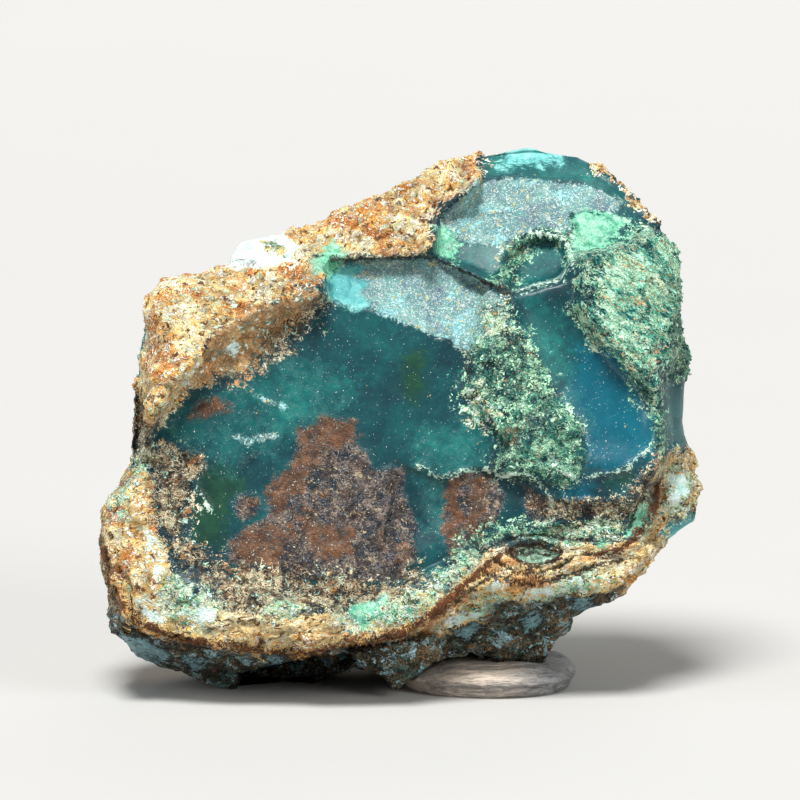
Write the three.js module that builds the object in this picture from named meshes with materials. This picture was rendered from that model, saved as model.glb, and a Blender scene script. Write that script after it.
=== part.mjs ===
// A blue opal specimen: one broken lump of teal opal, half wrapped in its granular rind,
// that rests on its own rough foot and on a wad of mounting putty. Millimetres, +Z up.

import * as THREE from 'three';

// Driving dimensions.
const STONE_WIDTH = 44;
const FACE_LEAN = 10; // degrees that the plane on which the face is drawn leans back from upright
const PUTTY_WIDTH = 13;
const PUTTY_THICKNESS = 2.1;
const PUTTY_GAP = 0.3; // between the pressed putty and the foot of stone above it
const STONE_RINGS = 22; // rings of the stone's mesh between the middle of each side and the rim
const PUTTY_RINGS = 10;

// Outlines and depths are in sixtieths of the stone's width: x to the right, v up the leaning
// face, and depth into the stone, square to that face.
const UNIT = STONE_WIDTH / 60;
const LEAN = THREE.MathUtils.degToRad(FACE_LEAN);

// The same units in the upright frame (x right, y back, z up, from the middle of the face's rim):
// the level that the specimen stands on, the middle of its length and breadth, the middle of the
// putty, and how far lumps and pits stand out where the surface is at its grainiest.
const GROUND = -27.46;
const MIDDLE = [0.17, 11.52];
const PUTTY_MIDDLE = [9, 9.2];
const RELIEF = 1.8;

// The rim, where the stone is widest seen square to its face: [x, v, depth], from the left
// shoulder over the top, down the right side and back along the underside.
const RIM = [
  [-25.8, 8.2, 9], [-25.0, 13.0, 9], [-23.0, 15.0, 10], [-20.6, 15.3, 11], [-18.8, 15.5, 12],
  [-16.8, 16.3, 12.5], [-15.3, 18.3, 13], [-12.8, 18.6, 13], [-11.5, 19.5, 14], [-8.0, 20.2, 15],
  [-5.9, 21.5, 15.5], [-2.0, 23.3, 16], [0.6, 24.6, 17], [5.2, 27.0, 18.5], [8.2, 27.4, 19.5],
  [13.8, 28.1, 20], [18.0, 27.5, 20], [20.6, 26.0, 19.5], [25.0, 21.9, 18], [27.5, 17.6, 15.5],
  [28.0, 11.0, 13.5], [28.8, 7.8, 13], [28.5, 0.5, 12.5], [28.7, -2.0, 13], [30.3, -6.0, 14],
  [29.4, -9.1, 14], [26.6, -10.9, 13], [24.9, -12.8, 11.5], [21.8, -16.1, 10], [17.3, -18.5, 10],
  [16.9, -19.8, 10.5], [15.6, -21.0, 11], [14.1, -23.5, 11.5], [12.8, -24.0, 12], [10.0, -22.7, 10],
  [6.6, -22.0, 8], [3.6, -22.7, 6], [2.0, -23.9, 5.5], [-0.3, -25.1, 5.5], [-4.3, -23.2, 8],
  [-6.0, -23.7, 11], [-9.7, -25.9, 14.5], [-11.4, -25.2, 14.5], [-15.0, -26.1, 13], [-17.2, -26.0, 12],
  [-19.7, -24.6, 10], [-26.0, -22.4, 7], [-28.3, -20.0, 6], [-29.8, -11.2, 6], [-29.4, -7.6, 6.5],
  [-26.3, -3.4, 8], [-26.6, 0.0, 8.5],
];

// The main glassy face, and how blunt the edges are between each side and the rim.
const FACE = { depth: 3.5, slope: [0, 0.13], grain: 0.05 };
const BACK = { depth: 27.5, slope: [0, -0.1], grain: 0.4 };

// Plates that lie over the main face, each over the ones before it. A plate is a plane through
// `depth` at the point `at`, `slope` deeper for each unit across and up. It takes over within
// `bevel` of its outline, and may swell by `crown` towards the front within `run` of it. `grain`
// is how much of the relief its surface has, from 0 for glassy opal to 0.5 for crumbly rind.
const PLATES = [
  { // deep blue window
    outline: [
      [11.5, 14], [18, 14.5], [21, 8], [24, 7], [25.5, -1.5],
      [24, -4], [17, -4.5], [14.5, 3], [11, 10],
    ],
    at: [19, 4], depth: 3.6, slope: [0.03, 0.16], bevel: 1.2, crown: -0.5, run: 4, grain: 0,
  },
  { // right flank, turning away
    outline: [[26.2, 20], [40, 20], [40, -14], [26, -12], [25.4, -4], [26.3, 6], [25.6, 12]],
    at: [26, 8], depth: 4.5, slope: [2.2, 0.1], bevel: 1.6, grain: 0.3,
  },
  { // druse on the right shoulder
    outline: [[18.5, 18], [22, 18], [26, 19], [27.5, 18], [28, 10], [26, 4], [23.8, 5], [21, 8], [18, 12.5]],
    at: [23, 12], depth: 3.6, slope: [0.3, 0.34], bevel: 1.6, crown: 0.9, run: 3, grain: 0.45,
  },
  { // frosted facet above the main face
    outline: [
      [-8, 14.5], [-7, 16.8], [3.7, 17.2], [10, 14], [11.5, 10],
      [9, 7.8], [5, 9.5], [-0.5, 11.8], [-7, 13],
    ],
    at: [-0.5, 11.8], depth: 5.5, slope: [0.15, 0.74], bevel: 1.2, grain: 0.05,
  },
  { // rind over the left of the top
    outline: [
      [-13, 19], [-8, 21], [0, 26], [6, 28], [8.5, 28], [8, 25], [4, 21.5], [2, 17.5], [-5, 17.5], [-9, 16.8],
    ],
    at: [2, 18], depth: 9.8, slope: [0.1, 0.95], bevel: 1.4, crown: 0.8, run: 3, grain: 0.5,
  },
  { // block of rind at the upper left
    outline: [
      [-26, 13.5], [-23.5, 15.5], [-17, 16.8], [-9, 17.2], [-7, 14.5], [-7.2, 13], [-11, 12], [-16, 10.2],
      [-22, 4.5], [-25.5, -0.8], [-28, 0],
    ],
    at: [-18, 11], depth: 2.6, slope: [-0.16, 0.62], bevel: 2.4, crown: 0.6, run: 4, grain: 0.5,
  },
  { // sloping slab at the top right, with a crisp lower lip
    outline: [
      [3.7, 17.2], [4, 21.5], [8, 24.5], [8.2, 28.5], [19, 28.5], [22, 26], [27, 20], [24.5, 19.5], [20, 18],
      [17.5, 17], [16, 14.9], [11.3, 13.8], [10, 14.5], [7, 16],
    ],
    at: [7, 16], depth: 9.2, slope: [-0.02, 0.74], bevel: 1.3, grain: 0.08,
  },
  { // top edge of the slab, rolling over
    outline: [[7.5, 25.2], [13, 24.7], [21.5, 26], [20, 30], [7, 30]],
    at: [13, 25], depth: 15.6, slope: [0, 1.6], bevel: 1.6, grain: 0.1,
  },
  { // smooth mint facet on the slab
    outline: [[17.2, 21.8], [19, 22.2], [24, 20.2], [25.5, 20.8], [24, 19.2], [20, 17.8], [18.5, 19]],
    at: [20, 20], depth: 11.2, slope: [0.15, 0.8], bevel: 1.2, grain: 0,
  },
  { // shell-shaped dimple under the slab's lip
    outline: [
      [11.5, 14.2], [15, 14.8], [16.3, 15.3], [17.2, 16.8],
      [16, 19], [14, 19.2], [10.8, 17.4], [10.5, 15.8],
    ],
    at: [14, 15], depth: 9, slope: [0, 0.95], bevel: 1.2, grain: 0.05,
  },
  { // band of green druse beside the window
    outline: [
      [9, 14], [11.5, 14], [12, 10], [17, 1], [19, -2], [17.5, -5], [10, -4.8], [11, -1], [6.5, 4], [7, 8],
    ],
    at: [12, 4], depth: 3.5, slope: [0.02, 0.2], bevel: 1.2, crown: 0.5, run: 2, grain: 0.45,
  },
  { // lower step of the face, under the broken flake
    outline: [
      [-0.5, -3.2], [2.5, -4.4], [5, -4.9], [7.8, -3.8], [12, -4.8], [15.3, -7.3], [24, -7.5], [23, -10],
      [16, -9], [12, -11], [4, -14], [0, -16], [-2, -13], [-0.5, -7],
    ],
    at: [4, -8], depth: 3.4, slope: [0, 0.1], bevel: 1.1, grain: 0.3,
  },
  { // cream ledge along the lower right
    outline: [
      [-6, -17], [-1, -16.2], [3, -14], [7, -12.2], [16, -9.5], [22, -9], [25.5, -5], [26.5, -8], [23, -14.5],
      [20, -17], [8, -16], [5, -18.2], [0, -21], [-5.5, -21],
    ],
    at: [8, -14], depth: 1.4, slope: [0.03, 0.42], bevel: 1, grain: 0.4,
  },
  { // rind round the lower left
    outline: [
      [-27, -3], [-21.5, -2.5], [-19.5, -4], [-21, -7], [-21, -12], [-19.5, -14.5], [-10, -17], [-5.5, -17.5],
      [-5.5, -21], [-20, -21.5], [-26, -19.5], [-30, -10], [-28.5, -6.5],
    ],
    at: [-22, -12], depth: 1.6, slope: [-0.12, 0.22], bevel: 1.5, crown: 0.4, run: 3, grain: 0.5,
  },
  { // dark green hollow beside that rind
    outline: [[-19.5, -3.5], [-17, -3], [-16, -6], [-17.5, -12], [-19, -13.6], [-20.5, -12.5], [-21.3, -9]],
    at: [-18.5, -8], depth: 3.4, slope: [0, 0.1], bevel: 1.2, crown: -0.4, run: 2, grain: 0,
  },
  { // left wall
    outline: [[-26.2, 15], [-23.9, 13.8], [-24.9, 3], [-26, -3.2], [-30, -3], [-30, 15]],
    at: [-24.6, 6], depth: 5.5, slope: [-2.6, 0], bevel: 1, grain: 0.3,
  },
  { // left flank of the foot
    outline: [
      [-31, -5.5], [-28.9, -7.5], [-28.9, -11], [-28.2, -15],
      [-27.2, -17.8], [-26.8, -21.4], [-31, -23],
    ],
    at: [-28.8, -10], depth: 2.4, slope: [-2.4, 0], bevel: 1, grain: 0.45,
  },
  { // underside below the seam on the left
    outline: [
      [-31, -23], [-27, -20.6], [-24.5, -20.8], [-20, -21.7], [-9, -22.3], [-4, -22.2], [-4, -27], [-31, -27],
    ],
    at: [-18, -22], depth: 2, slope: [-0.15, -2.2], bevel: 1, grain: 0.45,
  },
  { // underside below the seam on the right
    outline: [
      [-5.5, -21.2], [0, -20.9], [3, -19.3], [7, -16.4], [10, -15.3], [20, -15.4], [23.5, -13.4], [28, -14],
      [26, -27], [-5, -27],
    ],
    at: [12, -15.4], depth: 1.1, slope: [0, -1.3], bevel: 1.9, grain: 0.5,
  },
  { // lump that hangs from the middle of the seam
    outline: [[-5.5, -21.8], [-2, -21], [4, -20.5], [4, -22.5], [0.5, -25.5], [-2, -25.4]],
    at: [-0.5, -23], depth: 4, slope: [0.1, -1], bevel: 1.8, grain: 0.5,
  },
  { // the rear of the foot, seen below the seam
    outline: [[-16, -24.3], [-11.5, -23.2], [-8.5, -22.3], [-4.4, -22.2], [-4, -24.5], [-9, -27], [-16, -27]],
    at: [-10, -24], depth: 17, slope: [0, -1], bevel: 0.8, grain: 0.4,
  },
  { // lump behind the right end of the seam
    outline: [[25, -6], [26.2, -3.5], [28.5, -1.8], [31, -4], [31, -9], [28, -12], [24.6, -11.5], [25.5, -9]],
    at: [28, -6], depth: 10.5, slope: [0.7, 0.35], bevel: 1.1, crown: 1.6, run: 2.4, grain: 0.5,
  },
  { // white nodule on the top edge
    outline: [[-17, 16.2], [-15, 18.5], [-12, 18.8], [-9.8, 16.8], [-12, 16]],
    at: [-13, 17], depth: 9.5, slope: [0, 1.2], bevel: 0.8, crown: 1.2, run: 1.5, grain: 0.2,
  },
];

// Breaks that cut the sides, the back and the underside flat. Each is a plane in units of the
// upright stone (x right, y back, z up): the way that it faces, and a point that it passes through.
const BREAKS = [
  { facing: [0.04, 0.97, 0.22], through: [8, 26.4, 18] },
  { facing: [-0.12, 0.98, -0.12], through: [-8, 27, 0] },
  { facing: [-0.06, 0.3, 0.95], through: [13, 24, 24.6] },
  { facing: [-0.86, 0.48, 0.14], through: [-22.5, 19, 2] },
  { facing: [-0.42, 0.6, 0.68], through: [-13, 21, 14.2] },
  { facing: [0.86, 0.5, 0.12], through: [27, 20.5, 14] },
  { facing: [0.5, 0.78, -0.36], through: [15, 23.5, -12] },
  { facing: [0.3, 0.42, -0.86], through: [12.8, 8.2, -25.4] },
  { facing: [-0.66, 0.5, -0.56], through: [-22.5, 18.5, -19] },
];

const { clamp, smoothstep } = THREE.MathUtils;

/** The rim's radius and depth in the direction `angle` from the middle of the face. */
function rimAt(angle) {
  const [x, v] = [Math.cos(angle), Math.sin(angle)];
  const beside = ([a, b]) => x * b - v * a;
  const start = RIM.findIndex((point, i) => {
    const next = RIM[(i + 1) % RIM.length];
    return beside(point) >= 0 && beside(next) < 0 && point[0] * x + point[1] * v > 0;
  });
  const [a, b] = [RIM[start], RIM[(start + 1) % RIM.length]];
  const t = beside(a) / (beside(a) - beside(b));
  const [px, pv, depth] = a.map((value, i) => value + t * (b[i] - value));
  return { radius: Math.hypot(px, pv), depth };
}

/** Distance from (x, v) to a closed outline, positive inside it. */
function distanceInside(x, v, outline) {
  let nearest = Infinity;
  let inside = false;
  outline.forEach(([ax, av], i) => {
    const [bx, bv] = outline[(i + 1) % outline.length];
    const [ex, ev] = [bx - ax, bv - av];
    const t = clamp(((x - ax) * ex + (v - av) * ev) / (ex * ex + ev * ev), 0, 1);
    nearest = Math.min(nearest, Math.hypot(x - ax - t * ex, v - av - t * ev));
    if ((av > v) !== (bv > v) && x < ax + ((v - av) / ev) * ex) {
      inside = !inside;
    }
  });
  return inside ? nearest : -nearest;
}

/** Depth and grain of the front at (x, v), before it rounds off to the rim. */
function frontAt(x, v) {
  let depth = FACE.depth + FACE.slope[0] * x + FACE.slope[1] * v;
  let grain = FACE.grain;
  for (const plate of PLATES) {
    const inside = distanceInside(x, v, plate.outline);
    const cover = smoothstep(inside, -plate.bevel, plate.bevel);
    const plane = plate.depth + plate.slope[0] * (x - plate.at[0]) + plate.slope[1] * (v - plate.at[1]);
    const swollen = plane - (plate.crown ?? 0) * smoothstep(inside, 0, plate.run ?? 1);
    depth += cover * (swollen - depth);
    grain += cover * (plate.grain - grain);
  }
  return { depth, grain };
}

/** Depth and grain of the back at (x, v), before it rounds off to the rim. */
function backAt(x, v) {
  return { depth: BACK.depth + BACK.slope[0] * x + BACK.slope[1] * v, grain: BACK.grain };
}

// The two sides, which way each faces along the depth, and how blunt its edge is at the rim.
const FRONT_SIDE = { at: frontAt, facing: -1, bluntness: 7 };
const BACK_SIDE = { at: backAt, facing: 1, bluntness: 3.2 };

/** How far a side stands off the rim's level, from 1 in the middle to 0 at the rim. */
function fullness(share, bluntness) {
  return (1 - Math.min(share, 1) ** bluntness) ** (1 / bluntness);
}

/** A number from 0 to 1 that is fixed for each corner of a unit lattice. */
function latticeValue(i, j, k) {
  const wave = Math.sin(i * 127.1 + j * 311.7 + k * 74.7) * 43758.5453;
  return wave - Math.floor(wave);
}

/** Smooth noise from -1 to 1 over a lattice of the given size. */
function noise(point, size) {
  const [x, y, z] = [point.x / size, point.y / size, point.z / size];
  const [i, j, k] = [Math.floor(x), Math.floor(y), Math.floor(z)];
  const [fx, fy, fz] = [smoothstep(x - i, 0, 1), smoothstep(y - j, 0, 1), smoothstep(z - k, 0, 1)];
  let sum = 0;
  for (const [di, wi] of [[0, 1 - fx], [1, fx]]) {
    for (const [dj, wj] of [[0, 1 - fy], [1, fy]]) {
      for (const [dk, wk] of [[0, 1 - fz], [1, fz]]) {
        sum += wi * wj * wk * latticeValue(i + di, j + dj, k + dk);
      }
    }
  }
  return 2 * sum - 1;
}

/** A point of the leaning face's frame, in the upright frame. */
function upright(x, v, depth) {
  const back = v * Math.sin(LEAN) + depth * Math.cos(LEAN);
  const up = v * Math.cos(LEAN) - depth * Math.sin(LEAN);
  return new THREE.Vector3(x, back, up);
}

/** Cuts a point back to the planes of the breaks. */
function cutToBreaks(point) {
  for (const { facing, through } of BREAKS) {
    const normal = new THREE.Vector3(...facing).normalize();
    const excess = normal.dot(point) - normal.dot(new THREE.Vector3(...through));
    point.addScaledVector(normal, -Math.max(0, excess));
  }
}

/** The point of one side of the stone over (x, v) of the face, in the upright frame. */
function stonePoint(side, x, v) {
  const angle = Math.atan2(v, x);
  const rim = rimAt(angle);
  const share = Math.min(Math.hypot(x, v) / rim.radius, 1);
  const full = fullness(share, side.bluntness);
  const { depth, grain } = side.at(x, v);
  const point = upright(x, v, rim.depth + (depth - rim.depth) * full);
  cutToBreaks(point);
  const sideways = share ** 3;
  const away = upright(Math.cos(angle) * sideways, Math.sin(angle) * sideways, side.facing * full);
  const lumps = 0.65 * noise(point, 4.2) + 0.35 * noise(point, 2.1);
  point.addScaledVector(away.normalize(), RELIEF * grain * lumps);
  point.z = Math.max(point.z, GROUND);
  return point;
}

/** Radii of a mesh's rings, so spaced that they stay even where a side turns over the rim. */
function ringRadii(rings) {
  const bluntness = 4;
  const thickness = 0.45; // depth of one side as a share of its radius
  const steps = 2000;
  const radii = [0];
  const lengths = [0];
  for (let i = 1; i <= steps; i += 1) {
    const radius = Math.sin((i / steps) * (Math.PI / 2));
    const rise = thickness * (fullness(radii[i - 1], bluntness) - fullness(radius, bluntness));
    lengths.push(lengths[i - 1] + Math.hypot(radius - radii[i - 1], rise));
    radii.push(radius);
  }
  return Array.from({ length: rings + 1 }, (_, ring) => {
    const wanted = (lengths[steps] * ring) / rings;
    return radii[lengths.findIndex((length) => length >= wanted - 1e-9)];
  });
}

/** The angle of a square grid's point when its rings are bent into circles. */
function squareAngle(column, row) {
  if (column === 0 && row === 0) {
    return 0;
  }
  if (Math.abs(column) > Math.abs(row)) {
    return (Math.PI / 4) * (row / column) + (column < 0 ? Math.PI : 0);
  }
  return Math.PI / 2 - (Math.PI / 4) * (column / row) + (row < 0 ? Math.PI : 0);
}

/** Two triangles for a square, split along the diagonal that passes nearer to its true middle. */
function splitSquare(points, [a, b, c, d], middle) {
  const miss = (p, q) => points[p].clone().lerp(points[q], 0.5).distanceTo(middle);
  return miss(a, c) <= miss(b, d) ? [a, b, c, a, c, d] : [b, c, d, b, d, a];
}

/**
 * A closed body made of two square grids, each wrapped to the same rim. `radiusAt(angle)` is the
 * rim's radius in plan; `near(a, b)` and `far(a, b)` are the points of its sides over (a, b).
 */
function twoSidedGeometry(rings, radiusAt, near, far) {
  const radii = ringRadii(rings);
  const side = 2 * rings + 1;
  const plan = [];
  for (let row = -rings; row <= rings; row += 1) {
    for (let column = -rings; column <= rings; column += 1) {
      const angle = squareAngle(column, row);
      const radius = radiusAt(angle) * radii[Math.max(Math.abs(row), Math.abs(column))];
      plan.push([radius * Math.cos(angle), radius * Math.sin(angle)]);
    }
  }
  const isEnd = (place) => place === 0 || place === side - 1;
  const onRim = (i) => isEnd(i % side) || isEnd(Math.floor(i / side));
  const points = plan.map(([a, b]) => near(a, b));
  const farIndex = plan.map(([a, b], i) => (onRim(i) ? i : points.push(far(a, b)) - 1));
  const index = [];
  for (let row = 0; row < side - 1; row += 1) {
    for (let column = 0; column < side - 1; column += 1) {
      const i = row * side + column;
      const square = [i, i + 1, i + side + 1, i + side];
      const middle = [0, 1].map((axis) => square.reduce((sum, j) => sum + plan[j][axis] / 4, 0));
      index.push(...splitSquare(points, square, near(...middle)));
      const turned = square.map((corner) => farIndex[corner]).reverse();
      index.push(...splitSquare(points, turned, far(...middle)));
    }
  }
  const geometry = new THREE.BufferGeometry().setFromPoints(points);
  geometry.setIndex(index);
  geometry.computeVertexNormals();
  return geometry;
}

/** The stone, in millimetres, with its lowest points flat on the ground. */
function opalStone() {
  const geometry = twoSidedGeometry(
    STONE_RINGS,
    (angle) => rimAt(angle).radius,
    (x, v) => stonePoint(FRONT_SIDE, x, v),
    (x, v) => stonePoint(BACK_SIDE, x, v),
  );
  geometry.translate(-MIDDLE[0], -MIDDLE[1], -GROUND);
  geometry.scale(UNIT, UNIT, UNIT);
  const mesh = new THREE.Mesh(geometry, opalMaterial());
  mesh.name = 'opal_stone';
  return mesh;
}

/** The height of the stone's underside over a point of the ground, or Infinity clear of the stone. */
function undersideOver(stone, x, y) {
  const caster = new THREE.Raycaster(new THREE.Vector3(x, y, -1), new THREE.Vector3(0, 0, 1));
  const [hit] = caster.intersectObject(stone);
  return hit ? hit.point.z : Infinity;
}

/** The wad of putty, a thick uneven disc, flat beneath and pressed hollow by the stone's foot. */
function puttyRest(stone) {
  const middleX = (PUTTY_MIDDLE[0] - MIDDLE[0]) * UNIT;
  const middleY = (PUTTY_MIDDLE[1] - MIDDLE[1]) * UNIT;
  const uneven = (angle) => 0.03 * Math.cos(3 * angle + 2) - 0.04 * Math.sin(angle);
  const radiusAt = (angle) => (PUTTY_WIDTH / 2) * (1 + uneven(angle));
  const edgeHeight = 0.45 * PUTTY_THICKNESS;
  const shareAt = (a, b) => Math.hypot(a, b) / radiusAt(Math.atan2(b, a));
  const top = (a, b) => {
    const thinning = 0.35 * smoothstep(-a, 0.15 * PUTTY_WIDTH, 0.5 * PUTTY_WIDTH);
    const swelling = 0.18 * smoothstep(a + b, 0.2 * PUTTY_WIDTH, 0.6 * PUTTY_WIDTH);
    const free = PUTTY_THICKNESS * (1 - thinning + swelling);
    const height = edgeHeight + (free - edgeHeight) * fullness(shareAt(a, b), 3);
    const pressed = undersideOver(stone, a + middleX, b + middleY) - PUTTY_GAP;
    return new THREE.Vector3(a, b, Math.min(height, pressed));
  };
  const bottom = (a, b) => new THREE.Vector3(a, b, edgeHeight * smoothstep(shareAt(a, b), 0.93, 1));
  const mesh = new THREE.Mesh(twoSidedGeometry(PUTTY_RINGS, radiusAt, top, bottom), puttyMaterial());
  mesh.name = 'putty_rest';
  mesh.position.set(middleX, middleY, 0);
  return mesh;
}

function opalMaterial() {
  return new THREE.MeshStandardMaterial({ color: 0x1f7f80, roughness: 0.35, metalness: 0 });
}

function puttyMaterial() {
  return new THREE.MeshStandardMaterial({ color: 0xa79a8e, roughness: 0.75, metalness: 0 });
}

const stone = opalStone();
const specimen = new THREE.Group();
specimen.add(stone, puttyRest(stone));

export default specimen;
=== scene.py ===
"""A blue opal specimen on its wad of mounting putty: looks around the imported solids."""

import logging
import math
from collections.abc import Sequence
from dataclasses import dataclass, field, replace
from enum import Enum
from functools import cached_property
from typing import Self

import bpy
import numpy as np
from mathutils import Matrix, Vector
from mathutils.bvhtree import BVHTree


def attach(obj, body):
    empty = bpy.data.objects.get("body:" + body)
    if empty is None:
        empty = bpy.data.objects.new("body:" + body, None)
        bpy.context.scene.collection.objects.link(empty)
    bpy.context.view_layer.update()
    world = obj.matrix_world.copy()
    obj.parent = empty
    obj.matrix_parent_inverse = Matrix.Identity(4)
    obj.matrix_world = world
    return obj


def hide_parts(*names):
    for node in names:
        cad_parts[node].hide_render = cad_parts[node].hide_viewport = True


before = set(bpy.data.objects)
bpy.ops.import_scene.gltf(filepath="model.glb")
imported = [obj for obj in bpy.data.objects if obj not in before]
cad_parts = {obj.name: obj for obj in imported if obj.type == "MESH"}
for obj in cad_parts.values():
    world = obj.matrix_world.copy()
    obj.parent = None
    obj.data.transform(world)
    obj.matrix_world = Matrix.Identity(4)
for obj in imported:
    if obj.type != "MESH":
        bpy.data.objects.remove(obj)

log = logging.getLogger("specimen")
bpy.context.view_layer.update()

STONE_WIDTH = 0.044  # metres
UNIT = STONE_WIDTH / 60  # metres in a stone unit, which plans and relief are drawn in
FACE_LEAN = math.radians(10)
GROUND = -27.46  # height of the table in the upright frame
MIDDLE = (0.17, 11.52)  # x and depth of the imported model's middle in that frame
RELIEF = 1.8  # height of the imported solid's lumps
LUMPS = ((4.2, 0.65), (2.1, 0.35))  # their sizes and shares
TINY = 1e-9
MAP_MARGIN = 0.002

Array = np.ndarray
Mesh = bpy.types.Mesh
Piece = bpy.types.Object
Material = bpy.types.Material
Tree = bpy.types.NodeTree
Node = bpy.types.Node
Socket = bpy.types.NodeSocket
Spot = tuple[float, float]
Place = tuple[float, float, float]


def smoothstep(value: Array, low: float, high: float) -> Array:
    """Ease a value from 0 at low to 1 at high."""
    t = np.clip((value - low) / (high - low), 0, 1)
    return t * t * (3 - 2 * t)


def mix(a: Array, b: Array, share: Array) -> Array:
    """Blend from a to b by share."""
    return a + (b - a) * share


class Noise:
    """Repeatable noise over three-dimensional points, in stone units."""

    STRIDES = (127.1, 311.7, 74.7)
    SCRAMBLE = 43758.5453

    @classmethod
    def lattice(cls, corner: Sequence[Array]) -> Array:
        """A number from 0 to 1, fixed for each corner of a unit lattice."""
        wave = np.sin(sum(axis * stride for axis, stride in zip(corner, cls.STRIDES))) * cls.SCRAMBLE
        return wave - np.floor(wave)

    @classmethod
    def value(cls, points: Array, size: float) -> Array:
        """Smooth noise.

        Args:
            points: An (n, 3) array.
            size: Spacing of the lattice.

        Returns:
            One value from -1 to 1 for each point.
        """
        scaled = points / size
        corner = np.floor(scaled)
        f = scaled - corner
        f = f * f * (3 - 2 * f)
        total = np.zeros(len(points))
        for step in np.ndindex(2, 2, 2):
            x, y, z = (f[:, axis] if step[axis] else 1 - f[:, axis] for axis in range(3))
            total += x * y * z * cls.lattice([corner[:, axis] + step[axis] for axis in range(3)])
        return 2 * total - 1

    @classmethod
    def layered(
        cls, points: Array, size: float, octaves: int, gain: float = 0.5,
        shift: float = 17.3, folded: bool = False,
    ) -> Array:
        """Fractal noise from several layers of finer value noise.

        Args:
            points: An (n, 3) array.
            size: Spacing of the coarsest layer.
            octaves: How many layers.
            gain: Weight of each layer beside the one before.
            shift: How far each layer is moved beside the one before.
            folded: Whether the layers are folded at 0, which makes creases.

        Returns:
            About -1 to 1 for each point, or 0 to 0.5 where folded.
        """
        total = np.zeros(len(points))
        weight = 1.0
        whole = 0.0
        for octave in range(octaves):
            layer = cls.value(points + shift * octave, size / 2**octave)
            total += weight * (np.abs(layer) if folded else layer)
            whole += weight
            weight *= gain
        return total / whole

    @classmethod
    def lumps(cls, points: Array, size: float, octaves: int, gain: float = 0.5) -> Array:
        """Billowed noise from 0 in the creases to about 1 on round lumps."""
        return 2 * cls.layered(points, size, octaves, gain, shift=-9.1, folded=True)

    @classmethod
    def cells(cls, points: Array, size: float) -> tuple[Array, Array]:
        """Cellular noise.

        Args:
            points: An (n, 3) array.
            size: Spacing of the cells.

        Returns:
            The distance to the nearest cell's middle, in cells, and a number from 0 to 1 for that cell.
        """
        scaled = points / size
        corner = np.floor(scaled)
        nearest = np.full(len(points), np.inf)
        chance = np.zeros(len(points))
        for step in np.ndindex(3, 3, 3):
            cell = corner + step - 1
            seed = [cls.lattice((cell[:, 0] + s, cell[:, 1], cell[:, 2] - s)) for s in (0, 41, 83)]
            distance = np.linalg.norm(cell + np.stack(seed, axis=1) - scaled, axis=1)
            closer = distance < nearest
            nearest = np.where(closer, distance, nearest)
            chance = np.where(closer, seed[0], chance)
        return nearest, chance


@dataclass(frozen=True)
class Drawn:
    """A row of spots on the face's plan, in stone units."""

    spots: tuple[Spot, ...]

    @classmethod
    def through(cls, *numbers: float) -> Self:
        """One from the numbers of its spots, x and v in turn."""
        return cls(tuple(zip(numbers[::2], numbers[1::2])))

    @classmethod
    def several(cls, *rows: tuple[float, ...]) -> tuple[Self, ...]:
        """One from each row of such numbers."""
        return tuple(cls.through(*row) for row in rows)

    @staticmethod
    def gap(a: Spot, b: Spot, x: Array, v: Array) -> Array:
        """Distance to the straight line between two spots.

        Args:
            a: Where the line starts.
            b: Where it ends.
            x: Place to the right on the plan.
            v: Place up the plan.

        Returns:
            The distance.
        """
        ex, ev = b[0] - a[0], b[1] - a[1]
        t = np.clip(((x - a[0]) * ex + (v - a[1]) * ev) / (ex * ex + ev * ev), 0, 1)
        return np.hypot(x - a[0] - t * ex, v - a[1] - t * ev)


class Outline(Drawn):
    """A closed outline on the face's plan."""

    def inside(self, x: Array, v: Array) -> Array:
        """Distance to the outline.

        Args:
            x: Place to the right on the plan.
            v: Place up the plan.

        Returns:
            The distance, positive inside.
        """
        nearest = np.full(x.shape, np.inf)
        within = np.zeros(x.shape, bool)
        for a, b in zip(self.spots, self.spots[1:] + self.spots[:1]):
            nearest = np.minimum(nearest, self.gap(a, b, x, v))
            if a[1] != b[1]:
                crosses = (a[1] > v) != (b[1] > v)
                within ^= crosses & (x < a[0] + (v - a[1]) / (b[1] - a[1]) * (b[0] - a[0]))
        return np.where(within, nearest, -nearest)


class Trail(Drawn):
    """An open line on the face's plan."""

    def away(self, x: Array, v: Array) -> tuple[Array, Array]:
        """Distance to the line.

        Args:
            x: Place to the right on the plan.
            v: Place up the plan.

        Returns:
            The distance, and the same with a sign for the side of the line.
        """
        nearest = np.full(x.shape, np.inf)
        side = np.zeros(x.shape)
        for a, b in zip(self.spots, self.spots[1:]):
            away = self.gap(a, b, x, v)
            left = (b[0] - a[0]) * (v - a[1]) - (b[1] - a[1]) * (x - a[0]) > 0
            side = np.where(away < nearest, np.where(left, away, -away), side)
            nearest = np.minimum(nearest, away)
        return nearest, side


@dataclass(frozen=True)
class Plate:
    """A plane laid over the main face inside an outline."""

    outline: Outline
    at: Spot
    depth: float
    slope: Spot
    bevel: float
    grain: float
    crown: float = 0.0
    run: float = 1.0


@dataclass(frozen=True)
class Break:
    """A plane that a side of the stone is broken off at, in the upright frame."""

    facing: Place
    through: Place


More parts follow.
